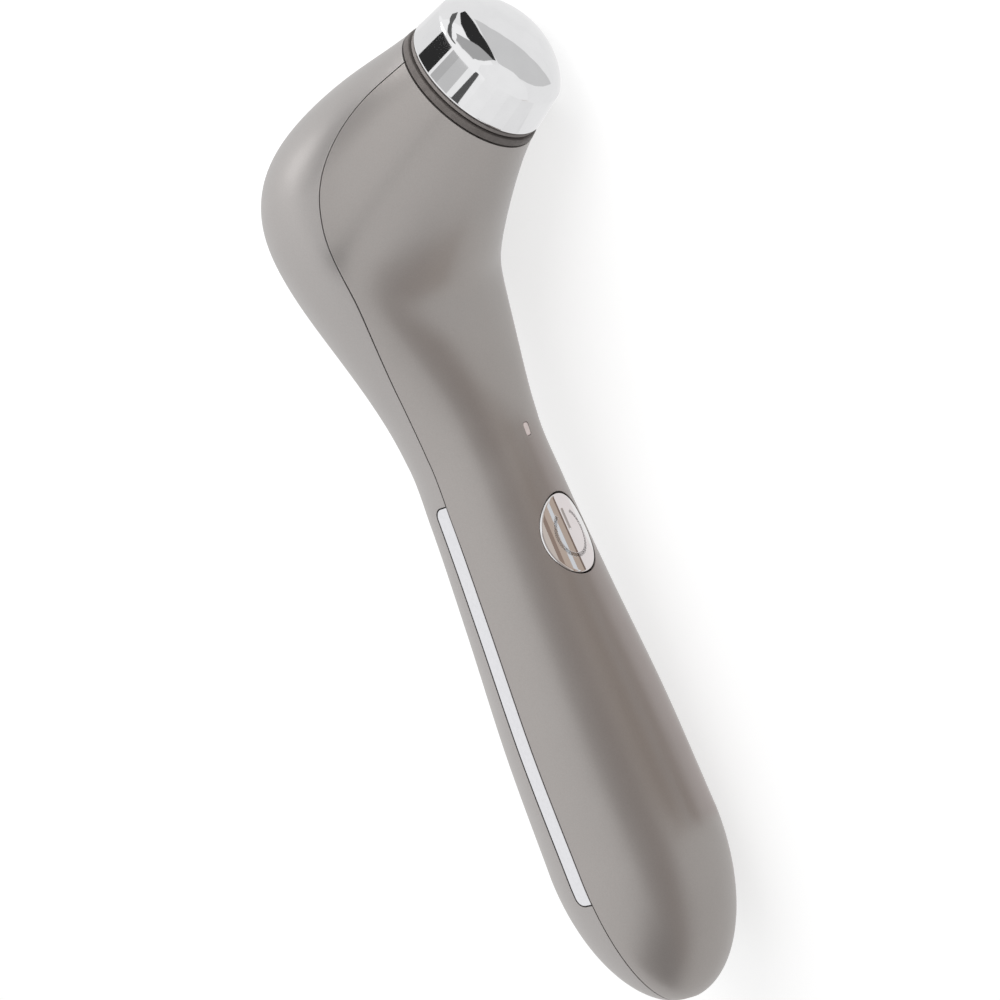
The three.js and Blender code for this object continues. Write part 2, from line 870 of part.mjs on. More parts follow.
// The head is a turned cap, thick at its face to spread the cold, with a skirt inside the ring.
addPiece('massage_head', turnedInHead([
  [0, padSeat],
  [skirtInner, padSeat],
  [skirtInner, skirtBottom],
  [skirtRadius, skirtBottom],
  [skirtRadius, headBase],
  [headBaseRadius - headBaseEdge, headBase],
  [headBaseRadius, headBase + headBaseEdge],
  ...domeProfile(),
], headSides), materials.chrome, headGroup);

// Cooling stack, from the head inward

function squarePlate(size, bottom, top) {
  return box([-size / 2, -size / 2, bottom], [size / 2, size / 2, top]);
}

addPiece('thermal_pad', squarePlate(padSize, padBottom, padBottom + padThickness),
  materials.thermalPad, headGroup);

function thermoelectricModule() {
  const hotTop = moduleBottom + modulePlate;
  const coldBottom = moduleTop - modulePlate;
  const pitch = moduleSize / modulePelletCount;
  const half = pitch * modulePelletShare / 2;
  const parts = [
    squarePlate(moduleSize, moduleBottom, hotTop),
    squarePlate(moduleSize, coldBottom, moduleTop),
  ];
  for (let i = 0; i < modulePelletCount; i += 1) {
    for (let j = 0; j < modulePelletCount; j += 1) {
      const x = (i + 0.5) * pitch - moduleSize / 2;
      const y = (j + 0.5) * pitch - moduleSize / 2;
      const [low, high] = [hotTop - modulePlate / 2, coldBottom + modulePlate / 2];
      parts.push(box([x - half, y - half, low], [x + half, y + half, high]));
    }
  }
  return union(parts);
}
addPiece('thermoelectric_module', thermoelectricModule(), materials.ceramic, headGroup);

// The leads of the module pass the heat sink and its carrier in a slot on the handle's side.
const leadSlotFront = -(moduleSize / 2 + seatGap);
const leadSlotHalf = leadPitch + leadRadius + seatGap;
const leadSlot = box(
  [-leadSlotHalf, -sleeveInner, carrierBottom - sinkFinLength],
  [leadSlotHalf, leadSlotFront, sinkTop + overrun],
);

function heatSink() {
  const base = turnedInHead(barProfile(sinkRadius, sinkBaseBottom, sinkTop));
  const pitch = (2 * finRadius - sinkFinThickness) / (sinkFinCount - 1);
  const fins = [];
  for (let i = 0; i < sinkFinCount; i += 1) {
    const x = -finRadius + i * pitch;
    fins.push(box(
      [x, -finRadius, sinkBottom],
      [x + sinkFinThickness, finRadius, sinkBaseBottom + sinkBaseThickness / 2],
    ));
  }
  const round = turnedInHead(barProfile(finRadius, sinkBottom - overrun, sinkTop));
  return base.add(union(fins).intersect(round)).subtract(leadSlot);
}
addPiece('heat_sink', heatSink(), materials.aluminium, headGroup);

addPiece('head_carrier', turnedInHead([
  [shelfInner, carrierBottom],
  [spigotRadius, carrierBottom],
  [spigotRadius, carrierTop],
  [sleeveOuter, carrierTop],
  [sleeveOuter, sinkTop],
  [sleeveInner, sinkTop],
  [sleeveInner, sinkBaseBottom - seatGap],
  [shelfInner, sinkBaseBottom - seatGap],
  [shelfInner, carrierBottom],
]).subtract(leadSlot), materials.blackPlastic, headGroup);

const thermistorPlace = (moduleSize / 2 + skirtInner) / 2;
const thermistorTop = padSeat - seatGap;
addPiece('thermistor', turnedAlongZ(
  barProfile(thermistorRadius, thermistorTop - thermistorLength, thermistorTop),
  0, -thermistorPlace,
), materials.blackPlastic, headGroup);

// Power button: a metal cap whose face follows the body, with an engraved power symbol

function powerSymbol() {
  const ring = new THREE.Shape();
  const [start, end] = [iconOpening / 2, Math.PI * 2 - iconOpening / 2];
  ring.absarc(buttonStation, 0, iconRadius, start, end, false);
  ring.absarc(buttonStation, 0, iconRadius - iconStroke, end, start, true);
  const bar = roundedRectangle(
    buttonStation + iconRadius * iconBarMiddleShare, 0,
    iconRadius * iconBarLengthShare, iconStroke, iconStroke * iconBarCornerShare,
  );
  return prismAlongY(ring, 0, tailDepth).add(prismAlongY(bar, 0, tailDepth));
}

function powerButton() {
  const cap = turnedAlongY(
    barProfile(buttonRadius, flangeBottom, tailDepth), buttonStation, 0, roundSides,
  ).intersect(outerBody);
  const flange = turnedAlongY(
    barProfile(flangeRadius, flangeBottom, flangeTop), buttonStation, 0, roundSides,
  );
  const hollow = turnedAlongY(tubeProfile(
    buttonStemRadius, buttonRadius - buttonSkirt,
    flangeBottom - overrun, flangeTop + seatGap + wall - buttonFace / 2,
  ), buttonStation, 0);
  return cap.add(flange).subtract(hollow).subtract(powerSymbol().subtract(bodyLoft(iconDepth)));
}
addPiece('power_button', powerButton(), materials.chrome);

// Switch body and its plunger, which moves with the button

const plungerBottom = switchTop - plungerRoot;
const switchBody = box(
  [buttonStation - switchSize / 2, boardTop + seatGap, -switchSize / 2],
  [buttonStation + switchSize / 2, switchTop, switchSize / 2],
);
const switchWell = turnedAlongY(barProfile(
  plungerRadius + screwPlay, plungerBottom - buttonTravel - seatGap, switchTop + overrun,
), buttonStation, 0);
addPiece('switch_body', switchBody.subtract(switchWell), materials.blackPlastic);
addPiece('switch_plunger', turnedAlongY(
  barProfile(plungerRadius, plungerBottom, plungerTop), buttonStation, 0,
), materials.whiteLead);

// Indicator: a light pipe flush with the shell, and the light source under it

const ledTop = boardTop + seatGap + ledHeight;
const lensShelf = skinForward(lensStation, lensWidth / 2 + lensFlangeReach, wall) - seatGap;
const lensBody = prismAlongY(lensOutline(0), ledTop + seatGap, tailDepth).intersect(outerBody);
const lensRim = prismAlongY(lensOutline(lensFlangeReach), lensShelf - lensFlange, lensShelf);
addPiece('indicator_lens', lensBody.add(lensRim), materials.lens);
addPiece('indicator_led', box(
  [lensStation - ledLength / 2, boardTop + seatGap, -ledWidth / 2],
  [lensStation + ledLength / 2, ledTop, ledWidth / 2],
), materials.whiteLead);

// Main board with its chip

const boardCentre = (boardStart + boardEnd) / 2;
const boardScrewPlaces = [
  [boardStart + boardScrewInset, boardWidth / 2 - boardScrewInset],
  [boardEnd - boardScrewInset, boardScrewInset - boardWidth / 2],
];

function boardScrewHoles(radius, bottom, top) {
  return union(boardScrewPlaces.map(
    ([x, z]) => turnedAlongY(barProfile(radius, bottom, top), x, z),
  ));
}

const boardOutline = roundedRectangle(
  boardCentre, 0, boardEnd - boardStart, boardWidth, boardCorner,
);
addPiece('main_board', prismAlongY(boardOutline, boardBottom, boardTop).subtract(
  boardScrewHoles(screwRadius + screwPlay, boardBottom - overrun, boardTop + overrun),
), materials.board);

const chipStation = THREE.MathUtils.lerp(buttonStation, lensStation, chipPlaceShare);
addPiece('control_chip', box(
  [chipStation - chipSize / 2, boardTop + seatGap, -chipSize / 2],
  [chipStation + chipSize / 2, boardTop + seatGap + chipHeight, chipSize / 2],
), materials.blackPlastic);

// Cell with its tabs, and the foam that presses it into the frame

const cellRadius = cellDiameter / 2;
addPiece('cell', turnedAlongX([
  [0, cellStart],
  [cellRadius, cellStart],
  [cellRadius, cellEnd - cellTerminalHeight],
  [cellTerminalRadius, cellEnd - cellTerminalHeight],
  [cellTerminalRadius, cellEnd],
  [0, cellEnd],
], 0, 0, roundSides), materials.cellWrap);

function cellTab(face) {
  return box(
    [face - tabThickness / 2, -tabWidth / 2, -tabWidth / 2],
    [face + tabThickness / 2, tabHeight - tabWidth / 2, tabWidth / 2],
  );
}
const tabOffset = seatGap + tabThickness / 2;
addPiece('cell_tab_tail', cellTab(cellStart - tabOffset), materials.steel);
addPiece('cell_tab_head', cellTab(cellEnd + tabOffset), materials.steel);

const cellBore = turnedAlongX(
  barProfile(
    cellRadius + seatGap,
    cellStart - tabOffset - tabThickness - seatGap,
    cellEnd + tabOffset + tabThickness + seatGap,
  ), 0, 0, roundSides,
);
const innerBody = bodyLoft(wall + frameGap, 0, frameSides);
addPiece('cell_pad', box(
  [cellStart + cellPadInset, cellRadius / 2, -cellPadWidth / 2],
  [cellEnd - cellPadInset, tailDepth, cellPadWidth / 2],
).intersect(innerBody).subtract(cellBore), materials.foam);

// Inner frame: a deck along the handle on cross ribs, with a spine, screw lugs and motor cradles

const motorEnd = motorStart + motorLength;
const frameEnd = motorEnd - motorNeckLength;
const motorCradleRadius = motorRadius + motorSleeve + 2 * seatGap;

function crossRib(x, thickness) {
  return box([x, -heelDepth, -heelWidth], [x + thickness, deckTop, heelWidth]);
}

function innerFrame() {
  const parts = [
    box([frameStart, deckBottom, -heelWidth], [frameEnd, deckTop, heelWidth]),
    box([frameStart, -heelDepth, -spineWidth / 2], [frameEnd, deckTop, spineWidth / 2]),
  ];
  const cellRibPitch = (cellLength - ribThickness) / (cellRibCount - 1);
  for (let i = 0; i < cellRibCount; i += 1) {
    parts.push(crossRib(cellStart + i * cellRibPitch, ribThickness));
  }
  for (let i = 0; i < boardRibCount; i += 1) {
    parts.push(crossRib(boardStart + (i + 0.5) * boardRibPitch, ribThickness));
  }
  parts.push(crossRib(motorStart + motorSleeveInset, motorRibThickness));
  parts.push(crossRib(frameEnd - motorRibThickness, motorRibThickness));
  for (const { x, lugTop } of frameScrews) {
    const lugRadius = bossRadius + seatGap + lugWall;
    parts.push(turnedAlongY(barProfile(lugRadius, -heelDepth, lugTop), x, 0));
  }

  const cuts = [cellBore];
  cuts.push(turnedAlongX(
    barProfile(motorCradleRadius, motorStart - overrun, frameEnd + overrun),
    -motorBehind, 0, roundSides,
  ));
  cuts.push(box(
    [motorStart - overrun, -motorBehind, -motorCradleRadius],
    [frameEnd + overrun, heelDepth, motorCradleRadius],
  ));
  for (const { x, bossTop, lugBottom, lugTop } of frameScrews) {
    const shank = barProfile(screwRadius + screwPlay, bossTop - overrun, lugTop + overrun);
    cuts.push(turnedAlongY(barProfile(bossRadius + seatGap, -heelDepth, lugBottom), x, 0));
    cuts.push(turnedAlongY(shank, x, 0));
    cuts.push(turnedAlongY(
      barProfile(screwHeadRadius + 2 * screwPlay, lugTop, deckTop + overrun), x, 0,
    ));
  }
  cuts.push(boardScrewHoles(screwRadius + screwPlay, deckBottom - overrun, deckTop + overrun));
  cuts.push(stripPosts(1, stripPostRadius + seatGap, stripPostLength + seatGap));
  cuts.push(stripPosts(-1, stripPostRadius + seatGap, stripPostLength + seatGap));
  cuts.push(box(
    [boardEnd, -motorBehind - motorNeckRadius, -deckWindowWidth / 2],
    [boardEnd + deckWindowLength, deckTop + overrun, deckWindowWidth / 2],
  ));
  return union(parts).intersect(innerBody).subtract(union(cuts));
}
addPiece('inner_frame', innerFrame(), materials.framePlastic);

// Screws

function screw(name, x, z, seat, length) {
  const body = turnedAlongY([
    [0, seat - length],
    [screwRadius, seat - length],
    [screwRadius, seat],
    [screwHeadRadius, seat],
    [screwHeadRadius, seat + screwHeadHeight],
    [0, seat + screwHeadHeight],
  ], x, z);
  const top = seat + screwHeadHeight;
  const drive = turnedAlongY(barProfile(driveRadius, top - driveDepth, top + overrun), x, z, 6);
  addPiece(name, body.subtract(drive), materials.steel);
}

frameScrews.forEach(({ x, seat }, i) => {
  screw(`frame_screw_${i + 1}`, x, 0, seat, frameScrewLength);
});
boardScrewPlaces.forEach(([x, z], i) => {
  screw(`board_screw_${i + 1}`, x, z, boardTop + seatGap, boardScrewLength);
});

// Vibration motor in its rubber sleeve, and the rotor with its eccentric weight

addPiece('motor_can', turnedAlongX([
  [0, motorStart],
  [motorRadius, motorStart],
  [motorRadius, motorEnd - motorNeckLength],
  [motorNeckRadius, motorEnd - motorNeckLength],
  [motorNeckRadius, motorEnd],
  [shaftRadius + shaftClearance, motorEnd],
  [shaftRadius + shaftClearance, motorEnd - shaftRoot],
  [0, motorEnd - shaftRoot],
], -motorBehind, 0, roundSides), materials.steel);

addPiece('motor_sleeve', turnedAlongX(tubeProfile(
  motorRadius + seatGap, motorRadius + seatGap + motorSleeve,
  motorStart + motorSleeveInset / 2, frameEnd,
), -motorBehind, 0, roundSides), materials.foam);

function motorRotor() {
  const weightStart = motorEnd + 2 * seatGap;
  const weightEnd = weightStart + weightLength;
  const axis = -motorBehind;
  const shaft = turnedAlongX(
    barProfile(shaftRadius, motorEnd - shaftRoot + seatGap, weightEnd + seatGap), axis, 0,
  );
  const hub = turnedAlongX(barProfile(weightHub, weightStart, weightEnd), axis, 0);
  const outline = new THREE.Shape();
  outline.absarc(0, axis, weightRadius, weightTurn, weightTurn + Math.PI, false);
  return shaft.add(hub).add(prismAlongX(outline, weightStart, weightEnd));
}
addPiece('motor_rotor', motorRotor(), materials.steel);

// Charging board with its receptacle

addPiece('charge_board', box(
  [chargeBoardStart, chargeBoardBottom, -chargeBoardWidth / 2],
  [chargeBoardEnd, chargeBoardTop, chargeBoardWidth / 2],
), materials.board);

addPiece('receptacle_shell', prismAlongX(inletOutline(0), receptacleStart, receptacleEnd).subtract(
  prismAlongX(inletOutline(-receptacleWall), receptacleStart - overrun, receptacleEnd + overrun),
), materials.steel);

const blockOutline = inletOutline(-receptacleWall - seatGap);
addPiece('receptacle_tongue', prismAlongX(
  blockOutline, receptacleEnd - inletBlock, receptacleEnd,
).add(box(
  [receptacleStart + tongueSetback, seamForward - tongueThickness / 2, -tongueWidth / 2],
  [receptacleEnd - inletBlock / 2, seamForward + tongueThickness / 2, tongueWidth / 2],
)), materials.blackPlastic);

// Leads: each a round wire along a smooth curve through a few points

function lead(name, points, finish) {
  const outline = new THREE.Shape();
  for (let i = 0; i < leadSides; i += 1) {
    const turn = i / leadSides * Math.PI * 2;
    const [x, y] = [leadRadius * Math.cos(turn), leadRadius * Math.sin(turn)];
    if (i === 0) outline.moveTo(x, y);
    else outline.lineTo(x, y);
  }
  const path = new THREE.CatmullRomCurve3(
    points.map(([x, y, z]) => new THREE.Vector3(x, y, z)), false, 'centripetal',
  );
  const geometry = new THREE.ExtrudeGeometry(outline, {
    steps: Math.max(leadStepsLeast, Math.ceil(path.getLength() / leadStep)),
    extrudePath: path,
    bevelEnabled: false,
  });
  addPiece(name, solidOf(geometry), finish);
}

const leadHeight = (boardBottom + boardTop) / 2;
const headLeadEnd = boardEnd + seatGap;
const tailLeadEnd = boardStart - seatGap;
const deckLane = deckTop + leadRadius + leadLift;

// From a piece of the cooling stack, down the slot beside the fins and back along the neck to the
// board's end. The lane counts the leads to the side.
function neckLead(name, lane, start, finish) {
  const slotY = (leadSlotFront - sleeveInner) / 2;
  const slotZ = sinkBottom + sinkFinLength / 2;
  const side = lane * leadPitch;
  const foot = fromHead(side, slotY, slotZ).toArray();
  const bend = fromHead(side, -neckLeadReach, sinkBottom).toArray();
  lead(name, [
    start.toArray(),
    fromHead(side, slotY, sinkTop).toArray(),
    foot,
    bend,
    [(bend[0] + motorEnd) / 2, (bend[1] + neckLeadHeight) / 2, side],
    [motorEnd, neckLeadHeight, side],
    [motorStart, neckLeadHeight, side],
    [headLeadEnd, leadHeight, side],
  ], finish);
}
const moduleLeadStart = -moduleSize / 2 - 2 * seatGap;
const moduleLeadHeight = moduleBottom + modulePlate / 2;
neckLead('module_lead_red', 1, fromHead(leadPitch, moduleLeadStart, moduleLeadHeight),
  materials.redLead);
neckLead('module_lead_black', -1, fromHead(-leadPitch, moduleLeadStart, moduleLeadHeight),
  materials.blackLead);
neckLead('thermistor_lead', 0,
  fromHead(0, -thermistorPlace, thermistorTop - thermistorLength - 2 * seatGap),
  materials.whiteLead);

function motorLead(name, side, finish) {
  const start = motorStart - seatGap;
  const riser = (start + headLeadEnd) / 2;
  lead(name, [
    [start, -motorBehind, side * leadPitch],
    [start - leadRadius, -motorBehind, side * leadPitch],
    [riser, -motorBehind / 2, side * 2 * leadPitch],
    [riser - leadRadius, deckTop, side * 2 * leadPitch],
    [headLeadEnd + leadRadius, leadHeight, side * 2 * leadPitch],
    [headLeadEnd, leadHeight, side * 2 * leadPitch],
  ], finish);
}
motorLead('motor_lead_red', 1, materials.redLead);
motorLead('motor_lead_black', -1, materials.blackLead);

const tabTop = tabHeight - tabWidth / 2 - leadRadius;
const tabReach = tabOffset + tabThickness / 2 + 2 * seatGap;
lead('cell_lead_red', [
  [cellEnd + tabReach, tabTop, 0],
  [cellEnd + tabReach + leadRadius, tabTop, 0],
  [tailLeadEnd - leadRadius, leadHeight, 0],
  [tailLeadEnd, leadHeight, 0],
], materials.redLead);

// From the tail, over the deck beside the cell, to the board's start. The lane counts the leads
// to the side of the cell.
function sideLead(name, start, side, lane, finish) {
  const run = side * (cellRadius + seatGap + (lane + 1) * leadPitch);
  const end = side * (boardWidth / 2 - boardCorner + lane * leadPitch);
  lead(name, [
    ...start,
    [cellStart + leadTurn, deckLane, run],
    [cellEnd, deckLane, run],
    [tailLeadEnd - leadRadius, leadHeight, end],
    [tailLeadEnd, leadHeight, end],
  ], finish);
}
const tailTab = cellStart - tabReach - leadRadius;
sideLead('cell_lead_black', [
  [tailTab, tabTop, 0],
  [tailTab, tabTop, tabWidth],
  [tailTab + leadRadius, deckLane + leadRadius, cellRadius + leadRadius],
], 1, 0, materials.blackLead);

function chargeLead(name, lane, finish) {
  const height = (chargeBoardBottom + chargeBoardTop) / 2;
  const start = chargeBoardEnd + seatGap;
  const aside = (lane + 2) * leadPitch;
  sideLead(name, [
    [start, height, -aside],
    [start + leadRadius, height, -aside],
    [start + leadPitch / 2, 0, -aside - 2 * leadPitch],
    [frameStart, deckLane, -aside - 3 * leadPitch],
  ], -1, lane, finish);
}
chargeLead('charge_lead_red', 0, materials.redLead);
chargeLead('charge_lead_black', 1, materials.blackLead);

// The product lies on its left side, on the points where its outline touches a table.

function piecePoints(mesh) {
  const positions = mesh.geometry.attributes.position;
  const points = [];
  for (let i = 0; i < positions.count; i += 1) {
    const point = new THREE.Vector3().fromBufferAttribute(positions, i);
    points.push(point.applyMatrix4(mesh.matrixWorld));
  }
  return points;
}

function massCentre() {
  const centre = new THREE.Vector3();
  const cross = new THREE.Vector3();
  let mass = 0;
  product.traverse((mesh) => {
    if (!mesh.isMesh) return;
    const points = piecePoints(mesh);
    const corners = mesh.geometry.index.array;
    for (let i = 0; i < corners.length; i += 3) {
      const [a, b, c] = [points[corners[i]], points[corners[i + 1]], points[corners[i + 2]]];
      const share = a.dot(cross.crossVectors(b, c)) * densities.get(mesh.material);
      centre.addScaledVector(a, share).addScaledVector(b, share).addScaledVector(c, share);
      mass += share;
    }
  });
  return centre.divideScalar(4 * mass);
}

function holds(face, point) {
  const side = new THREE.Vector3();
  const inward = new THREE.Vector3();
  let edge = face.edge;
  do {
    side.subVectors(edge.head().point, edge.tail().point);
    inward.crossVectors(face.normal, side);
    if (inward.dot(point) < inward.dot(edge.tail().point)) return false;
    edge = edge.next;
  } while (edge !== face.edge);
  return true;
}

product.updateMatrixWorld(true);
const outerPieces = ['rear_shell', 'front_shell', 'head_trim_ring', 'massage_head'];
const hull = new ConvexHull().setFromPoints(
  outerPieces.flatMap((name) => piecePoints(product.getObjectByName(name))),
);
const balance = massCentre();
const down = new THREE.Vector3(0, 0, -1);
const restingSide = new THREE.Vector3(0, 0, 1);
const restingFace = hull.faces
  .filter((face) => holds(face, balance))
  .sort((a, b) => b.normal.dot(restingSide) - a.normal.dot(restingSide))[0];
const rolledOver = new THREE.Quaternion().setFromAxisAngle(new THREE.Vector3(1, 0, 0), Math.PI);
product.quaternion
  .setFromUnitVectors(restingFace.normal.clone().applyQuaternion(rolledOver), down)
  .multiply(rolledOver);

product.updateMatrixWorld(true);
const lyingBox = new THREE.Box3().setFromObject(product, true);
const lyingCentre = lyingBox.getCenter(new THREE.Vector3());
product.position.set(-lyingCentre.x, -lyingCentre.y, -lyingBox.min.z);

export default product;
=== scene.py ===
"""Looks of a cooling facial massager that lies on its side: a satin body with a mirror head."""

import bisect
import json
import math

import bpy
import numpy as np
from mathutils import Matrix, Vector
from mathutils.bvhtree import BVHTree
from mathutils.interpolate import poly_3d_calc


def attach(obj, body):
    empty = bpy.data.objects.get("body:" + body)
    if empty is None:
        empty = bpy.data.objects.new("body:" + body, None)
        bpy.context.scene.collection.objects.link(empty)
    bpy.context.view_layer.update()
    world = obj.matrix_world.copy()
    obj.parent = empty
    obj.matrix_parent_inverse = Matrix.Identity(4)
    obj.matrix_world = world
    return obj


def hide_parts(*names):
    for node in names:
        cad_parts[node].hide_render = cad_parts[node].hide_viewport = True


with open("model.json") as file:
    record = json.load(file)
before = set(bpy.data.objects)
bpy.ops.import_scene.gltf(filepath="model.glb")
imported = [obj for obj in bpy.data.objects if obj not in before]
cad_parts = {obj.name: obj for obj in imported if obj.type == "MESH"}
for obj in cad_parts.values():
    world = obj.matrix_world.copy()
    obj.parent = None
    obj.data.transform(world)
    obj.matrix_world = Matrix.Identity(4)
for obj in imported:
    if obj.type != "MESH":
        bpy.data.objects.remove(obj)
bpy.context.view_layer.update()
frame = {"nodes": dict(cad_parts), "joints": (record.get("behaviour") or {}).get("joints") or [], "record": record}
record = frame["record"]
nodes = frame["nodes"]

# The product's own frame

MM = 0.001
INLET_PLACE = Vector((0.0016, 0.00145, 0.0))

inlet = next(m for m in record["mounts"] if m["name"] == "charging_port")
press = next(j for j in frame["joints"] if j["name"] == "button_press")
along = -Vector(inlet["axis"]).normalized()
forward = -Vector(press["axis"]).normalized()
side = along.cross(forward).normalized()
turn_to_row = Matrix((along, forward, side)).transposed()
origin = Vector(inlet["pos_m"]) - turn_to_row @ INLET_PLACE
to_row = Matrix.Translation(origin) @ turn_to_row.to_4x4() @ Matrix.Scale(MM, 4)

# Sizes in millimetres

HANDLE_LENGTH = 106.1
TAIL_LENGTH = 29.1
TAIL_SIZE = (29.4, 36.8)
NECK_SIZE = (22.7, 28.3)
HEEL_SIZE = (40.0, 47.7)
BEND_LENGTH = 55.4
HEAD_REACH = 25.4
HEAD_TILT = math.radians(66.6)
BEND_START_ARM = 41.4
BEND_END_ARM = 43.4
MOUTH_DIAMETER = 27.1
HANDLE_SHARES = [(0, 1, 1), (0.3, 0.73, 0.88), (0.6, 0.3, 0.4), (0.85, 0.03, 0.05), (1, 0, 0)]
BEND_SHARES = [(0.33, 0.545, 0.96, 0.43), (0.66, 1.065, 1.09, 0.76), (0.85, 0.795, 0.49, 0.93)]
SOFT_START, SOFT_END = (1.03, 1.2), (1.97, 1.8)
SOFT_ROUNDS = 360
WALL = 2.2
GAP = 0.3
SEAM_GAP = 0.18
THROUGH = 40.0
TINY = 1e-6

SEAM_FORWARD = -0.9
SEAM_END_TURN = math.radians(36.5)
SEAM_LEAD = 20.0
SEAM_SHARES = [
    (0.21, 0.041), (0.506, 0.151), (0.765, 0.161), (0.904, 0.213), (1.007, 0.351), (1.082, 0.569),
]
TONGUE_LOW, TONGUE_HIGH = -1.2, 1.8
LEDGE_INNER, LEDGE_OUTER = 9.75, 14.0
LEDGE_LOW, LEDGE_HIGH = -6.1, -4.9

STRIP_START, STRIP_END = 24.8, 97.2
STRIP_WIDTH = 3.0
STRIP_DEPTH = 0.9
STRIP_CORNER = 1.6
STRIP_ROUNDING = 0.28
STRIP_FRONT = SEAM_FORWARD - GAP / 2

BUTTON_PLACE = 84.9
BUTTON_RADIUS = 7.3
BUTTON_GAP = 0.22
BUTTON_RIM = 0.45
BUTTON_BOTTOM = 6.2
FLANGE_REACH = 0.9
ICON_RADIUS = 4.5
ICON_STROKE = 0.75
ICON_DEPTH = 0.35
ICON_OPENING = math.radians(62)
BAR_REACH, BAR_LENGTH = ICON_RADIUS * 0.55, ICON_RADIUS * 0.9
BAR_CORNER = ICON_STROKE * 0.4

LENS_PLACE = 104.3
LENS_SIZE = (2.3, 1.5)
LENS_CORNER = 0.5
LENS_GAP = 0.08
LENS_RIM = 0.15
LENS_BOTTOM = 6.0

LAND_SETBACK = 1.6
LAND_SIZE = (11.0, 5.6)
INLET_SIZE = (8.94, 3.26)
INLET_RIM = 1.4

RING_INNER, RING_SPIGOT, RING_OUTER = 10.4, 11.05, MOUTH_DIAMETER / 2
RING_LOW, RING_STEP, RING_TOP = -2.9, 0.3, 1.45
LIP_LOW, LIP_HIGH = 1.75, 2.3
LIP_RADIUS = 12.75
HEAD_BASE, HEAD_WALL_TOP, HEAD_DOME = 2.6, 9.4, 6.0
HEAD_RADIUS, HEAD_TOP_RADIUS = 13.1, 12.3
HEAD_LEAN = math.radians(26.5)
HEAD_SHOULDER = 1.2
HEAD_FOOT = HEAD_BASE + 0.35
POCKET_RADIUS, POCKET_TOP = 9.4, 5.9
SKIRT_RADIUS = 10.1

# Shape of the body


def smooth_value(times, rows, time):
    """The rows' values at a time, along a cubic through them."""
    if time <= times[0]:
        return rows[0]
    if time >= times[-1]:
        return rows[-1]
    last = bisect.bisect_right(times, time)
    first = last - 1
    start, end = times[first], times[last]
    before = first - 1 if first > 0 else last
    after = last + 1 if last + 1 < len(times) else first
    half = (end - start) / 2
    back = half / (start - times[before])
    ahead = half / (times[after] - end)
    p = (time - start) / (end - start)
    weights = (
        -back * p**3 + 2 * back * p**2 - back * p,
        (1 + back) * p**3 + (-1.5 - 2 * back) * p**2 + (-0.5 + back) * p + 1,
        (-1 - ahead) * p**3 + (1.5 + ahead) * p**2 + 0.5 * p,
        ahead * p**3 - ahead * p**2,
    )
    picked = (rows[before], rows[first], rows[last], rows[after])
    return tuple(sum(w * row[k] for w, row in zip(weights, picked)) for k in range(len(rows[0])))


def lerp(a, b, share):
    return a + (b - a) * share


profile_times = []
profile_rows = []
for place, depth_share, width_share in HANDLE_SHARES:
    profile_times.append(place)
    profile_rows.append((
        lerp(NECK_SIZE[0], TAIL_SIZE[0], depth_share) / 2,
        lerp(NECK_SIZE[1], TAIL_SIZE[1], width_share) / 2,
        0.0,
    ))
for place, depth_share, width_share, lean_share in BEND_SHARES:
    profile_times.append(1 + place)
    profile_rows.append((
        lerp(NECK_SIZE[0], HEEL_SIZE[0], depth_share) / 2,
        lerp(NECK_SIZE[1], HEEL_SIZE[1], width_share) / 2,
        lean_share * HEAD_TILT,
    ))
profile_times.append(2)
profile_rows.append((MOUTH_DIAMETER / 2, MOUTH_DIAMETER / 2, HEAD_TILT))

head_direction = Vector((math.cos(HEAD_TILT), math.sin(HEAD_TILT)))
mouth_centre = Vector((HANDLE_LENGTH + BEND_LENGTH, HEAD_REACH))
bend_points = (
    Vector((HANDLE_LENGTH, 0)),
    Vector((HANDLE_LENGTH + BEND_START_ARM, 0)),
    mouth_centre - head_direction * BEND_END_ARM,
    mouth_centre,
)


def bend_at(share):
    rest = 1 - share
    weights = (rest**3, 3 * rest**2 * share, 3 * rest * share**2, share**3)
    return sum((w * p for w, p in zip(weights, bend_points)), Vector((0, 0)))


def section_at(time, inset):
    """Centre x and y, lean, half depth and half width of the body's section at a time."""
    half_depth, half_width, lean = smooth_value(profile_times, profile_rows, max(time, 0))
    depth, width = half_depth - inset, half_width - inset
    if time < 0:
        turn = (1 + time) * math.pi / 2
        x = TAIL_LENGTH - (TAIL_LENGTH - inset) * math.cos(turn)
        return x, 0.0, 0.0, depth * math.sin(turn), width * math.sin(turn)
    if time <= 1:
        return lerp(TAIL_LENGTH, HANDLE_LENGTH, time), 0.0, 0.0, depth, width
    point = bend_at(time - 1)
    return point.x, point.y, lean, depth, width


def handle_section(x, inset):
    if x < TAIL_LENGTH:
        turn = math.acos((TAIL_LENGTH - x) / (TAIL_LENGTH - inset))
        return section_at(turn * 2 / math.pi - 1, inset)
    return section_at((x - TAIL_LENGTH) / (HANDLE_LENGTH - TAIL_LENGTH), inset)


def skin_forward(x, z, inset=0.0):
    _, _, _, depth, width = handle_section(x, inset)
    return depth * math.sqrt(max(1 - (z / width) ** 2, 0))


def skin_side(x, y):
    _, _, _, depth, width = handle_section(x, 0)
    return width * math.sqrt(max(1 - (y / depth) ** 2, 0))


# Mesh helpers, in millimetres


def make_object(name, points, faces):
    mesh = bpy.data.meshes.new(name)
    mesh.from_pydata([tuple(p) for p in points], [], faces)
    mesh.validate()
    made = bpy.data.objects.new(name, mesh)
    bpy.context.scene.collection.objects.link(made)
    return made


def discard(thing):
    mesh = thing.data
    bpy.data.objects.remove(thing)
    bpy.data.meshes.remove(mesh)


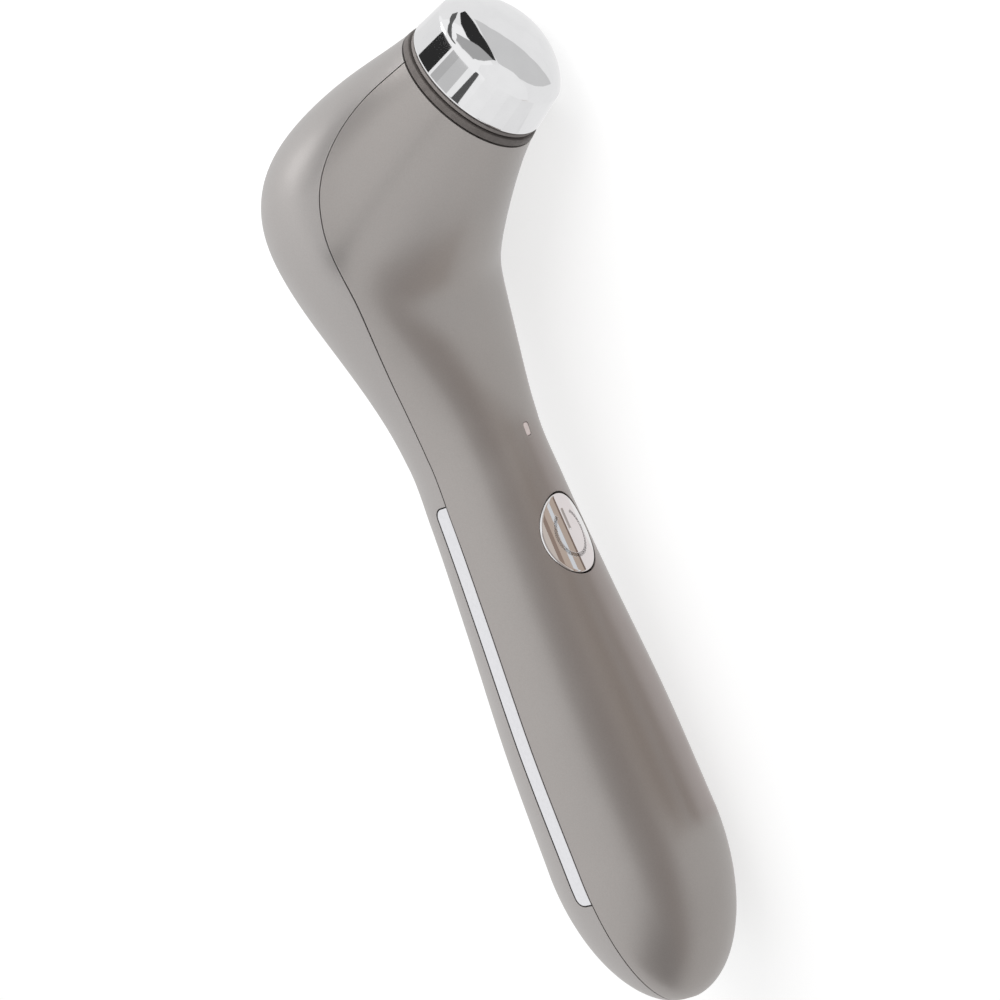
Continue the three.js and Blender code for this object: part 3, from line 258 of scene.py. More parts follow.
def settle(thing):
    """Applies the modifiers of an object."""
    graph = bpy.context.evaluated_depsgraph_get()
    old = thing.data
    thing.data = bpy.data.meshes.new_from_object(thing.evaluated_get(graph))
    thing.modifiers.clear()
    bpy.data.meshes.remove(old)
    thing.data.name = thing.name


def carve(target, tool, operation="DIFFERENCE", keep=False):
    cut = target.modifiers.new("cut", "BOOLEAN")
    cut.operation = operation
    cut.solver = "MANIFOLD"
    cut.object = tool
    settle(target)
    if not keep:
        discard(tool)
    return target


def blend_in(start, end, value):
    """0 before the start and 1 past the end, with a soft step between."""
    share = min(max((value - start) / (end - start), 0), 1)
    return share * share * (3 - 2 * share)


def body_loft(name, inset, extension=0.0, sides=192, tail=40, handle=56, bend=104):
    """The body as a closed loft, taken in by an inset all round. It can run past the mouth."""
    times = [i / tail - 1 for i in range(1, tail)]
    times += [i / handle for i in range(handle)]
    times += [1 + i / bend for i in range(bend + 1)]
    rings = [section_at(time, inset) for time in times]
    hold = [blend_in(*SOFT_START, time) * blend_in(*SOFT_END, time) for time in times]
    if extension > 0:
        x, y, lean, depth, width = rings[-1]
        ahead = head_direction * extension
        rings.append((x + ahead.x, y + ahead.y, lean, depth, width))
        hold.append(0.0)
    turns = np.arange(sides) / sides * math.tau
    grid = np.array([
        [(x - math.sin(lean) * depth * math.cos(turn), y + math.cos(lean) * depth * math.cos(turn),
          width * math.sin(turn)) for turn in turns]
        for x, y, lean, depth, width in rings
    ])
    # The inside of the bend softens most
    inside = (0.5 + 0.5 * np.cos(turns)) ** 2
    share = np.array(hold[1:-1])[:, None, None] * (0.1 + 0.9 * inside)[None, :, None] / 2
    for _ in range(SOFT_ROUNDS):
        grid[1:-1] += share * ((grid[:-2] + grid[2:]) / 2 - grid[1:-1])
    points = [(inset, 0, 0)] + [tuple(p) for p in grid.reshape(-1, 3)]
    faces = []
    for i in range(sides):
        j = (i + 1) % sides
        faces.append((0, 1 + j, 1 + i))
        for ring in range(len(rings) - 1):
            low, high = 1 + ring * sides, 1 + (ring + 1) * sides
            faces.append((low + i, low + j, high + j, high + i))
    end = 1 + (len(rings) - 1) * sides
    faces.append(tuple(end + i for i in range(sides)))
    return make_object(name, points, faces)


def prism(name, outline, place, start, end):
    """A closed outline of 2-D points, anticlockwise, run from start to end. place puts a corner."""
    count = len(outline)
    points = [place(u, v, start) for u, v in outline] + [place(u, v, end) for u, v in outline]
    faces = [tuple(reversed(range(count))), tuple(range(count, 2 * count))]
    for i in range(count):
        j = (i + 1) % count
        faces.append((i, j, count + j, count + i))
    return make_object(name, points, faces)


def along_x(u, v, w):
    return (w, u, v)


def along_y(u, v, w):
    return (v, w, u)


def along_z(u, v, w):
    return (u, v, w)


def rounded_outline(centre, size, corner, steps=12):
    points = []
    for index, (sx, sy) in enumerate(((1, 1), (-1, 1), (-1, -1), (1, -1))):
        cx = centre[0] + sx * (size[0] / 2 - corner)
        cy = centre[1] + sy * (size[1] / 2 - corner)
        for step in range(steps + 1):
            turn = (index + step / steps) * math.pi / 2
            points.append((cx + corner * math.cos(turn), cy + corner * math.sin(turn)))
    kept = []
    for point in points:
        if not kept or math.dist(point, kept[-1]) > TINY:
            kept.append(point)
    if math.dist(kept[0], kept[-1]) < TINY:
        kept.pop()
    return kept


def rounded_profile(corners, steps=6):
    """A profile from corners of (radius, height, rounding)."""
    points = []
    for i, (r, h, rounding) in enumerate(corners):
        here = Vector((r, h))
        if rounding == 0 or i in (0, len(corners) - 1):
            points.append(here)
            continue
        before = Vector(corners[i - 1][:2]) - here
        after = Vector(corners[i + 1][:2]) - here
        half = before.angle(after) / 2
        reach = min(rounding / math.tan(half), before.length * 0.49, after.length * 0.49)
        radius = reach * math.tan(half)
        start, end = here + before.normalized() * reach, here + after.normalized() * reach
        inward = (before.normalized() + after.normalized()).normalized()
        middle = here + inward * radius / math.sin(half)
        for step in range(steps + 1):
            share = step / steps
            a, b = start - middle, end - middle
            arc = a.angle(b)
            mix = (a * math.sin((1 - share) * arc) + b * math.sin(share * arc)) / math.sin(arc)
            points.append(middle + mix)
    return [(p.x, p.y) for p in points]


def turned(name, profile, place, sides=192):
    """A closed profile of (radius, height), anticlockwise, turned round its axis."""
    points, rows = [], []
    for radius, height in profile:
        if radius < TINY:
            rows.append([len(points)] * sides)
            points.append(place(0, 0, height))
        else:
            first = len(points)
            rows.append([first + i for i in range(sides)])
            for i in range(sides):
                turn = i / sides * math.tau
                points.append(place(radius * math.cos(turn), radius * math.sin(turn), height))
    faces = []
    count = len(rows)
    for k in range(count):
        low, high = rows[k], rows[(k + 1) % count]
        for i in range(sides):
            j = (i + 1) % sides
            corners = []
            for corner in (low[i], low[j], high[j], high[i]):
                if corner not in corners:
                    corners.append(corner)
            if len(corners) > 2:
                faces.append(tuple(corners))
    return make_object(name, points, faces)


def in_head(u, v, w):
    """From the head's frame, w outward and u to the side, to the product's."""
    return (
        mouth_centre.x + head_direction.y * v + head_direction.x * w,
        mouth_centre.y - head_direction.x * v + head_direction.y * w,
        u,
    )


def at_button(u, v, w):
    return (BUTTON_PLACE + v, w, u)


# Seam


def spline(points, steps):
    """A smooth curve through points, the same number of steps in each span."""
    curve = []
    spans = len(points) - 1
    for step in range(steps + 1):
        place = step / steps * spans
        index = min(int(place), spans - 1)
        t = place - index
        p0 = points[max(index - 1, 0)]
        p1, p2 = points[index], points[index + 1]
        p3 = points[min(index + 2, spans)]
        v0, v1 = (p2 - p0) / 2, (p3 - p1) / 2
        curve.append(
            (2 * p1 - 2 * p2 + v0 + v1) * t**3
            + (-3 * p1 + 3 * p2 - 2 * v0 - v1) * t**2
            + v0 * t
            + p1
        )
    return curve


def seam_points():
    across = MOUTH_DIAMETER / 2 * math.sin(SEAM_END_TURN)
    end = mouth_centre + Vector((head_direction.y, -head_direction.x)) * across
    knots = [Vector((x, SEAM_FORWARD)) for x in (HANDLE_LENGTH - SEAM_LEAD, HANDLE_LENGTH)]
    for share, rise in SEAM_SHARES:
        knots.append(Vector((
            HANDLE_LENGTH + share * BEND_LENGTH, lerp(SEAM_FORWARD, HEAD_REACH, rise),
        )))
    knots.append(end)
    start = Vector((-TAIL_LENGTH, SEAM_FORWARD))
    return [start] + spline(knots, 192) + [end + head_direction * TAIL_LENGTH]


def shifted_seam(distance):
    points = seam_points()
    moved = []
    for i, point in enumerate(points):
        step = (points[min(i + 1, len(points) - 1)] - points[max(i - 1, 0)]).normalized()
        moved.append(point + Vector((-step.y, step.x)) * distance)
    return moved


def seam_band(name, start, end):
    outline = shifted_seam(start) + list(reversed(shifted_seam(end)))
    return prism(name, outline, along_z, -HEEL_SIZE[1], HEEL_SIZE[1])


def behind_seam(name, distance):
    line = shifted_seam(distance)
    far = 2 * HEEL_SIZE[0]
    outline = line + [
        Vector((line[-1].x + far, line[-1].y)),
        Vector((line[-1].x + far, -far)),
        Vector((line[0].x, -far)),
    ]
    return prism(name, list(reversed(outline)), along_z, -HEEL_SIZE[1], HEEL_SIZE[1])


# Shading from the smooth skin


SKIN_REACH = 0.004
SKIN_LIKENESS = 0.9


def smooth_from(thing, skin, edge=30):
    """Gives the faces that lie on a smooth skin that skin's own normals, and softens the rest."""
    source = skin.data
    normals = [v.normal.copy() for v in source.vertices]
    corners = [tuple(p.vertices) for p in source.polygons]
    tree = BVHTree.FromPolygons([v.co for v in source.vertices], corners)
    mesh = thing.data
    for polygon in mesh.polygons:
        polygon.use_smooth = True
    mesh.set_sharp_from_angle(angle=math.radians(edge))
    own = [n.vector.copy() for n in mesh.corner_normals]
    found = {}
    for polygon in mesh.polygons:
        for loop in polygon.loop_indices:
            vertex = mesh.loops[loop].vertex_index
            if vertex not in found:
                place, _, index, distance = tree.find_nearest(mesh.vertices[vertex].co)
                normal = None
                if distance < SKIN_REACH:
                    ring = corners[index]
                    weights = poly_3d_calc([source.vertices[corner].co for corner in ring], place)
                    normal = sum((w * normals[c] for w, c in zip(weights, ring)), Vector())
                    normal.normalize()
                found[vertex] = normal
            if found[vertex] is not None and found[vertex].dot(polygon.normal) > SKIN_LIKENESS:
                own[loop] = found[vertex]
    mesh.normals_split_custom_set(own)


# Materials


def ramp(tree, source, stops):
    """Colours along a value, from stops of (position, colour)."""
    made = tree.nodes.new("ShaderNodeValToRGB")
    elements = made.color_ramp.elements
    while len(elements) < len(stops):
        elements.new(0.5)
    for element, (position, colour) in zip(elements, stops):
        element.position = position
        element.color = (*colour, 1)
    tree.links.new(source, made.inputs["Fac"])
    return made.outputs["Color"]


def mapped(tree, source, **ends):
    """A value mapped from one range to another, whose ends are named as in From_Min."""
    made = tree.nodes.new("ShaderNodeMapRange")
    for key, value in ends.items():
        made.inputs[key.replace("_", " ")].default_value = value
    tree.links.new(source, made.inputs["Value"])
    return made


class Finish:
    """A node material, built step by step round one Principled shader."""

    def __init__(self, name, **values):
        self.material = bpy.data.materials.new(name)
        self.material.use_nodes = True
        self.tree = self.material.node_tree
        self.tree.nodes.clear()
        self.shader = self.node("ShaderNodeBsdfPrincipled")
        out = self.node("ShaderNodeOutputMaterial")
        self.link(self.shader.outputs["BSDF"], out.inputs["Surface"])
        coords = self.node("ShaderNodeTexCoord")
        mapping = self.node("ShaderNodeMapping")
        mapping.inputs["Scale"].default_value = (1 / MM,) * 3
        self.link(coords.outputs["Object"], mapping.inputs["Vector"])
        self.place = mapping.outputs["Vector"]
        for key, value in values.items():
            self.shader.inputs[key.replace("_", " ")].default_value = value

    def node(self, kind):
        return self.tree.nodes.new(kind)

    def link(self, start, end):
        self.tree.links.new(start, end)

    def noise(self, scale, detail=3.0):
        made = self.node("ShaderNodeTexNoise")
        made.inputs["Scale"].default_value = scale
        made.inputs["Detail"].default_value = detail
        self.link(self.place, made.inputs["Vector"])
        return made.outputs["Fac"]

    def colour(self, source, low, high, start, end):
        shade = ramp(self.tree, source, [(start, low), (end, high)])
        self.link(shade, self.shader.inputs["Base Color"])

    def rough(self, source, low, high):
        made = mapped(self.tree, source, From_Min=0.3, From_Max=0.7, To_Min=low, To_Max=high)
        self.link(made.outputs["Result"], self.shader.inputs["Roughness"])

    def relief(self, source, height, strength, rounding=0.0):
        bump = self.node("ShaderNodeBump")
        bump.inputs["Strength"].default_value = strength
        bump.inputs["Distance"].default_value = height * MM
        self.link(source, bump.inputs["Height"])
        if rounding > 0:
            bevel = self.node("ShaderNodeBevel")
            bevel.samples = 6
            bevel.inputs["Radius"].default_value = rounding * MM
            self.link(bevel.outputs["Normal"], bump.inputs["Normal"])
        self.link(bump.outputs["Normal"], self.shader.inputs["Normal"])


def srgb(red, green, blue):
    """A colour written as it shows on screen, from 0 to 255."""
    def one(value):
        value /= 255
        return value / 12.92 if value <= 0.04045 else ((value + 0.055) / 1.055) ** 2.4
    return one(red), one(green), one(blue)


finishes = {}


def add_finish(name, colour, rough, relief, detail=3.0, contrast=(0.35, 0.65), **values):
    """A finish from noise: (scale, low, high) of colour, the same of roughness, and relief."""
    made = Finish(name, **values)
    scale, low, high = colour
    made.colour(made.noise(scale, detail), srgb(*low), srgb(*high), *contrast)
    scale, low, high = rough
    made.rough(made.noise(scale), low, high)
    scale, *size = relief
    made.relief(made.noise(scale), *size)
    finishes[name] = made.material


def satin(name, colour):
    """Pearl paint: a fine flake in the colour and a soft, slightly uneven sheen."""
    flake = 2.5
    low, high = ([c + step for c in colour] for step in (-flake, flake))
    add_finish(name, (5.0, low, high), (0.12, 0.36, 0.4), (9.0, 0.004, 0.3, 0.15), 1.0, (0.3, 0.7),
               Metallic=0.68, Coat_Weight=0.12, Coat_Roughness=0.22)


# Relief is (scale, height, strength) and, where edges are softened, the rounding

satin("front_paint", (171, 166, 163))
satin("rear_paint", (176, 172, 170))
add_finish("mirror_metal", (0.3, (233, 233, 234), (236, 236, 237)), (1.0, 0.035, 0.055),
           (14.0, 0.001, 0.04, 0.12), Metallic=1.0)
add_finish("strip_metal", (1.5, (224, 224, 227), (228, 228, 231)), (4.0, 0.14, 0.2),
           (12.0, 0.002, 0.15, 0.1), Metallic=1.0)
add_finish("trim", (1.2, (104, 98, 95), (115, 109, 106)), (4.0, 0.42, 0.55),
           (16.0, 0.02, 0.4, 0.1), Specular_IOR_Level=0.4)
add_finish("seal", (1.2, (132, 126, 123), (142, 136, 133)), (4.0, 0.45, 0.6),
           (16.0, 0.02, 0.4, 0.08), Specular_IOR_Level=0.4)
# The lens glows faintly in its own colour: painted light, as it is no lamp
add_finish("lens", (2.0, (240, 226, 222), (248, 236, 232)), (6.0, 0.18, 0.28),
           (20.0, 0.005, 0.3), Transmission_Weight=0.08,
           Emission_Color=(1, 0.88, 0.86, 1), Emission_Strength=0.12)
add_finish("black_plastic", (1.5, (30, 30, 33), (42, 42, 46)), (5.0, 0.45, 0.6),
           (18.0, 0.02, 0.4, 0.1), Specular_IOR_Level=0.45)
add_finish("frame_plastic", (0.8, (202, 201, 196), (216, 215, 210)), (4.0, 0.5, 0.65),
           (14.0, 0.02, 0.4, 0.12), Specular_IOR_Level=0.45)
add_finish("aluminium", (1.0, (178, 180, 184), (196, 198, 202)), (6.0, 0.3, 0.42),
           (20.0, 0.01, 0.4, 0.08), Metallic=1.0)
add_finish("ceramic", (1.5, (236, 234, 228), (246, 245, 240)), (5.0, 0.42, 0.55),
           (20.0, 0.01, 0.4))
add_finish("thermal_pad", (2.5, (128, 142, 156), (148, 160, 172)), (6.0, 0.7, 0.85),
           (10.0, 0.05, 0.5))
add_finish("board", (1.6, (34, 92, 62), (50, 116, 80)), (5.0, 0.35, 0.5),
           (8.0, 0.02, 0.5, 0.08), 1.0, (0.45, 0.55), Coat_Weight=0.4, Coat_Roughness=0.15)
add_finish("cell_wrap", (0.7, (52, 112, 168), (74, 138, 192)), (3.0, 0.3, 0.45),
           (3.0, 0.05, 0.4, 0.1), Coat_Weight=0.3, Coat_Roughness=0.2)
add_finish("foam", (4.0, (44, 44, 46), (66, 66, 68)), (6.0, 0.88, 0.98),
           (6.0, 0.12, 0.9), Specular_IOR_Level=0.2)
add_finish("steel", (1.2, (162, 164, 166), (182, 184, 186)), (6.0, 0.22, 0.36),
           (18.0, 0.01, 0.4, 0.08), Metallic=1.0)
add_finish("white_plastic", (1.5, (222, 220, 214), (234, 232, 226)), (5.0, 0.45, 0.6),
           (16.0, 0.02, 0.4))
add_finish("red_lead", (2.0, (172, 34, 34), (196, 52, 50)), (5.0, 0.4, 0.55),
           (10.0, 0.02, 0.4))
add_finish("black_lead", (2.0, (28, 28, 30), (42, 42, 45)), (5.0, 0.4, 0.55),
           (10.0, 0.02, 0.4))

# Pieces


def place_piece(thing, finish, body, *replaced):
    """Puts a piece built in the product's millimetres in the row frame and gives it its finish."""
    thing.data.transform(to_row)
    thing.data.materials.clear()
    thing.data.materials.append(finishes[finish])
    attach(thing, body)
    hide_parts(*replaced)


def plain_smooth(thing, edge=30):
    for polygon in thing.data.polygons:
        polygon.use_smooth = True
    thing.data.set_sharp_from_angle(angle=math.radians(edge))


outer = body_loft("outer_skin", 0)


def tail_outline(length, width, grow=0.0):
    """A slot with round ends at the tail, grown all round. A trace of its ends stays flat."""
    flat = 0.01
    size = (width + 2 * grow, length + 2 * grow)
    return rounded_outline((SEAM_FORWARD, 0), size, size[0] / 2 - flat)


def tail_cut(thing):
    """Cuts the inlet's land and its passage into a piece at the tail."""
    carve(thing, prism("land", tail_outline(*LAND_SIZE), along_x, -1, LAND_SETBACK))
    passage = prism("passage", tail_outline(*INLET_SIZE, GAP), along_x, -1, LAND_SETBACK + WALL + 1)
    carve(thing, passage)


def shell_walls(name):
    """Both shells before they part, with the ledge in the mouth, the inlet's land and passage."""
    walls = body_loft(name, 0)
    carve(walls, body_loft("cavity", WALL, 1.0))
    ledge = turned("ledge", [
        (LEDGE_INNER, LEDGE_LOW), (LEDGE_OUTER, LEDGE_LOW),
        (LEDGE_OUTER, LEDGE_HIGH), (LEDGE_INNER, LEDGE_HIGH),
    ], in_head, 96)
    carve(walls, carve(ledge, body_loft("inside", WALL / 2, 1.0), "INTERSECT"), "UNION")
    rim = tail_outline(*INLET_SIZE, GAP + INLET_RIM)
    surround = prism("surround", rim, along_x, LAND_SETBACK, LAND_SETBACK + WALL)
    carve(walls, carve(surround, body_loft("inside", WALL / 2), "INTERSECT"), "UNION")
    tail_cut(walls)
    return walls


front = shell_walls("front_shell_skin")
carve(front, behind_seam("behind", SEAM_GAP / 2))
rebate = body_loft("rebate", WALL / 2 - GAP / 2, 1.0)
carve(rebate, body_loft("rebate_inside", WALL + 1, 2.0))
carve(rebate, seam_band("rebate_band", TONGUE_LOW, TONGUE_HIGH + GAP), "INTERSECT")
carve(front, rebate)
bore = BUTTON_RADIUS + BUTTON_GAP
carve(front, turned("bore", [(0, 0), (bore, 0), (bore, THROUGH), (0, THROUGH)], at_button))
lens_size = [LENS_SIZE[1] + 2 * LENS_GAP, LENS_SIZE[0] + 2 * LENS_GAP]
lens_outline = rounded_outline((0, LENS_PLACE), lens_size, LENS_CORNER + LENS_GAP)
carve(front, prism("lens_hole", lens_outline, along_y, 0, THROUGH))
smooth_from(front, outer)
place_piece(front, "front_paint", "housing", "front_shell")

shell_back = shell_walls("rear_shell_skin")
carve(shell_back, behind_seam("behind", -SEAM_GAP / 2), "INTERSECT")
tongue = body_loft("tongue", WALL / 2 + GAP / 2, 1.0)
carve(tongue, body_loft("tongue_inside", WALL, 1.5))
carve(tongue, seam_band("tongue_band", TONGUE_LOW, TONGUE_HIGH), "INTERSECT")
carve(tongue, outer, "INTERSECT", keep=True)
tail_cut(tongue)
carve(shell_back, tongue, "UNION")


def strip_outline(grow):
    """Seen from the side: square to the seam, round behind."""
    start, end = STRIP_START - grow, STRIP_END + grow
    front_edge, back_edge = STRIP_FRONT + grow, STRIP_FRONT - STRIP_WIDTH - grow
    corner = STRIP_CORNER + grow
    points = [(end, front_edge), (start, front_edge)]
    steps = 12
    for centre, first in ((start + corner, math.pi), (end - corner, 1.5 * math.pi)):
        for step in range(steps + 1):
            turn = first + step / steps * math.pi / 2
            y = back_edge + corner + corner * math.sin(turn)
            points.append((centre + corner * math.cos(turn), y))
    return points


for sign in (1, -1):
    reach = (0, HEEL_SIZE[1]) if sign > 0 else (-HEEL_SIZE[1], 0)
    pocket = prism("pocket", strip_outline(GAP / 2), along_z, *reach)
    carve(pocket, body_loft("pocket_core", STRIP_DEPTH + GAP))
    carve(shell_back, pocket)
smooth_from(shell_back, outer)
place_piece(shell_back, "rear_paint", "housing", "rear_shell")


def rounded_drop(edge, rounding):
    """How far a rounded edge falls away at a distance from the edge."""
    inner = max(rounding - edge, 0)
    return rounding - math.sqrt(max(rounding**2 - inner**2, 0))


def strip_piece(name, sign):
    """A strip with softly rounded edges, standing on its own edge walls."""
    columns = []
    ends = [0, 0.06, 0.14, 0.26, 0.42, 0.62, 0.86, 1.15, STRIP_CORNER]
    steps = 90
    span = STRIP_END - STRIP_START - 2 * STRIP_CORNER
    xs = [STRIP_START + e for e in ends]
    xs += [STRIP_START + STRIP_CORNER + span * i / steps for i in range(1, steps)]
    xs += [STRIP_END - e for e in reversed(ends)]
    back = STRIP_FRONT - STRIP_WIDTH
    rows = 14
    for x in xs:
        inside = min(x - STRIP_START, STRIP_END - x)
        short = max(STRIP_CORNER - inside, 0)
        low = back + STRIP_CORNER - math.sqrt(max(STRIP_CORNER**2 - short**2, 0))
        column = []
        for row in range(rows + 1):
            share = 0.5 - 0.5 * math.cos(row / rows * math.pi)
            y = lerp(low, STRIP_FRONT, share)
            edge = min(inside, STRIP_FRONT - y, radial_edge(x, y, back))
            column.append((x, y, skin_side(x, y) - rounded_drop(edge, STRIP_ROUNDING)))
        columns.append(column)
    points, faces = [], []
    for column in columns:
        for x, y, z in column:
            points.append((x, y, z * sign))
    top = len(points)
    for column in columns:
        for x, y, z in column:
            points.append((x, y, (skin_side(x, y) - STRIP_DEPTH) * sign))
    wide = rows + 1
    for i in range(len(columns) - 1):
        for j in range(rows):
            a, b = i * wide + j, (i + 1) * wide + j
            c, d = b + 1, a + 1
            faces.append((a, b, c, d))
            faces.append((top + d, top + c, top + b, top + a))
    rim = list(range(wide))
    rim += [i * wide + rows for i in range(1, len(columns))]
    rim += [(len(columns) - 1) * wide + j for j in reversed(range(rows))]
    rim += [i * wide for i in reversed(range(1, len(columns) - 1))]
    for i, here in enumerate(rim):
        there = rim[(i + 1) % len(rim)]
        faces.append((here, there, top + there, top + here))
    if sign < 0:
        faces = [tuple(reversed(face)) for face in faces]
    return make_object(name, points, faces)


def radial_edge(x, y, back):
    """How far a point of the strip is from its rounded corner or its rear edge."""
    corner_y = back + STRIP_CORNER
    for outward, corner_x in ((-1, STRIP_START + STRIP_CORNER), (1, STRIP_END - STRIP_CORNER)):
        if (x - corner_x) * outward > 0 and y < corner_y:
            return STRIP_CORNER - math.dist((x, y), (corner_x, corner_y))
    return y - back


for sign, label in ((1, "left"), (-1, "right")):
    made = strip_piece(f"side_strip_{label}_bar", sign)
    plain_smooth(made, 50)
    place_piece(made, "strip_metal", "housing", f"side_strip_{label}")

# Head: ring, lip and metal cap, all turned

ring = turned("head_ring_turned", rounded_profile([
    (RING_INNER, RING_LOW, 0), (RING_SPIGOT, RING_LOW, 0), (RING_SPIGOT, RING_STEP, 0),
    (RING_OUTER, RING_STEP, 0.12), (RING_OUTER - 0.25, RING_TOP, 0.22), (RING_INNER, RING_TOP, 0),
]), in_head, 256)
plain_smooth(ring)
place_piece(ring, "trim", "housing", "head_trim_ring")

lip = turned("head_lip_turned", rounded_profile([
    (RING_INNER, LIP_LOW, 0), (RING_OUTER - 0.6, LIP_LOW, 0.12), (LIP_RADIUS, LIP_HIGH, 0.12),
    (RING_INNER, LIP_HIGH, 0),
]), in_head, 256)
plain_smooth(lip)
place_piece(lip, "seal", "housing", "head_seal")


def head_profile():
    """The cap from its pocket out over the wall, the rounded shoulder and the dome."""
    spread = HEAD_TOP_RADIUS / math.cos(HEAD_LEAN)
    rise = HEAD_DOME / (1 - math.sin(HEAD_LEAN))
    dome = []
    steps = 72
    for i in range(steps + 1):
        turn = lerp(HEAD_LEAN, math.pi / 2, i / steps)
        radius = spread * math.cos(turn) if i < steps else 0
        height = HEAD_WALL_TOP + rise * (math.sin(turn) - math.sin(HEAD_LEAN))
        dome.append((radius, height))
    first = next(i for i, p in enumerate(dome) if math.dist(p, dome[0]) > HEAD_SHOULDER)
    near_ends = (0.06, 0.92)
    wall = [
        (lerp(HEAD_RADIUS, HEAD_TOP_RADIUS, share), lerp(HEAD_FOOT, HEAD_WALL_TOP, share), 0)
        for share in near_ends
    ]
    corners = [
        (0, POCKET_TOP, 0), (POCKET_RADIUS, POCKET_TOP, 0), (POCKET_RADIUS, RING_LOW, 0),
        (SKIRT_RADIUS, RING_LOW, 0), (SKIRT_RADIUS, HEAD_BASE, 0),
        (HEAD_RADIUS - 0.1, HEAD_BASE, 0.25), (HEAD_RADIUS, HEAD_FOOT, 0.4), *wall,
        (HEAD_TOP_RADIUS, HEAD_WALL_TOP, HEAD_SHOULDER), (*dome[first], 0),
    ]
    return rounded_profile(corners, 14) + dome[first + 1:]


cap = turned("head_cap_turned", head_profile(), in_head, 384)
plain_smooth(cap)
place_piece(cap, "mirror_metal", "housing", "massage_head")

# Power button: a cap that follows the body, with a softly rounded rim and an engraved symbol


def lid(name, middle, rings, bottom, flipped=False):
    """A lid from its middle over rings of points and straight down to a flat bottom."""
    sides = len(rings[0])
    points = [middle] + [point for ring in rings for point in ring]
    points += [(x, bottom, z) for x, _, z in rings[-1]]
    starts = [1 + index * sides for index in range(len(rings) + 1)]
    *spans, (last, base) = zip(starts, starts[1:])
    faces = []
    for i in range(sides):
        j = (i + 1) % sides
        faces.append((0, 1 + j, 1 + i))
        for low, high in spans:
            faces.append((low + i, low + j, high + j, high + i))
    for i in range(sides):
        j = (i + 1) % sides
        faces.append((last + i, last + j, base + j, base + i))
    if flipped:
        faces = [face[:1] + face[:0:-1] for face in faces]
    end = tuple(base + i for i in range(sides))
    faces.append(end[::-1] if flipped else end)
    return make_object(name, points, faces)


def button_skin(name):
    """The whole cap, with its rings closer together towards the rim."""
    sides, count = 288, 72
    rings = []
    for index in range(1, count + 1):
        radius = BUTTON_RADIUS * (index / count) ** 0.72
        drop = rounded_drop(BUTTON_RADIUS - radius, BUTTON_RIM)
        ring = []
        for i in range(sides):
            turn = i / sides * math.tau
            x, z = BUTTON_PLACE + radius * math.cos(turn), radius * math.sin(turn)
            ring.append((x, skin_forward(x, z) - drop, z))
        rings.append(ring)
    return lid(name, (BUTTON_PLACE, skin_forward(BUTTON_PLACE, 0), 0), rings, BUTTON_BOTTOM)


button = button_skin("power_button_cap")
button_whole = button_skin("power_button_whole")

flange_radius = BUTTON_RADIUS + FLANGE_REACH
flange_top = skin_forward(BUTTON_PLACE, flange_radius, WALL) - GAP
carve(button, turned("flange", [
    (0, flange_top - FLANGE_REACH), (flange_radius, flange_top - FLANGE_REACH),
    (flange_radius, flange_top), (0, flange_top),
], at_button), "UNION")


def icon_tool():
    """The power symbol as a cutter: an open ring with a bar in its opening."""
    steps = 360
    start, end = ICON_OPENING / 2, math.tau - ICON_OPENING / 2
    outer_edge, inner_edge = [], []
    for i in range(steps + 1):
        turn = lerp(start, end, i / steps)
        for edge, radius in ((outer_edge, ICON_RADIUS), (inner_edge, ICON_RADIUS - ICON_STROKE)):
            edge.append((radius * math.sin(turn), BUTTON_PLACE + radius * math.cos(turn)))
    made = prism("icon", outer_edge + inner_edge[::-1], along_y, 0, THROUGH)
    bar = rounded_outline((0, BUTTON_PLACE + BAR_REACH), (ICON_STROKE, BAR_LENGTH), BAR_CORNER)
    carve(made, prism("bar", bar, along_y, 0, THROUGH), "UNION")
    carve(made, body_loft("icon_floor", ICON_DEPTH))
    return made


carve(button, icon_tool())
smooth_from(button, button_whole, edge=40)
icon_floor = body_loft("icon_floor_skin", ICON_DEPTH)
smooth_from(button, icon_floor, edge=40)
discard(icon_floor)
place_piece(button, "mirror_metal", "button", "power_button")
discard(button_whole)

# Indicator lens


def lens_skin(name):
    count = 10
    outline = rounded_outline((0, 0), (LENS_SIZE[1], LENS_SIZE[0]), LENS_CORNER, 10)
    rings = []
    for index in range(1, count + 1):
        share = (index / count) ** 0.7
        drop = rounded_drop((1 - share) * LENS_SIZE[1] / 2, LENS_RIM)
        ring = []
        for u, v in outline:
            x, z = LENS_PLACE + v * share, u * share
            ring.append((x, skin_forward(x, z) - drop, z))
        rings.append(ring)
    middle = (LENS_PLACE, skin_forward(LENS_PLACE, 0), 0)
    return lid(name, middle, rings, LENS_BOTTOM, flipped=True)


window = lens_skin("indicator_window")
plain_smooth(window, 50)
place_piece(window, "lens", "housing", "indicator_lens")
discard(outer)

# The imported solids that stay

slot_of = {entry["node"]: entry["material_slot"] for entry in record["subparts"]}
for name, thing in nodes.items():
    wanted = slot_of.get(name)
    if wanted is None and thing.data.materials:
        wanted = thing.data.materials[0].name.split(".")[0]
    material = finishes.get(wanted, finishes["frame_plastic"])
    if not thing.data.materials:
        thing.data.materials.append(material)
    for index in range(len(thing.data.materials)):
        thing.data.materials[index] = material

# Camera, placed in the product's own frame

VIEW_BACK = Vector((0.0683, 0.5449, -0.8364)).normalized()
VIEW_RIGHT = Vector((-0.3710, 0.7919, 0.4859))
VIEW_RIGHT = (VIEW_RIGHT - VIEW_BACK * VIEW_RIGHT.dot(VIEW_BACK)).normalized()
VIEW_UP = VIEW_BACK.cross(VIEW_RIGHT).normalized()
VIEW_PLACE = Vector((90, 5, 0))
VIEW_SHIFT = (-5.07, 2.67, 500)
VIEW_AXES = (VIEW_RIGHT, VIEW_UP, VIEW_BACK)
VIEW_LENS = 103.626

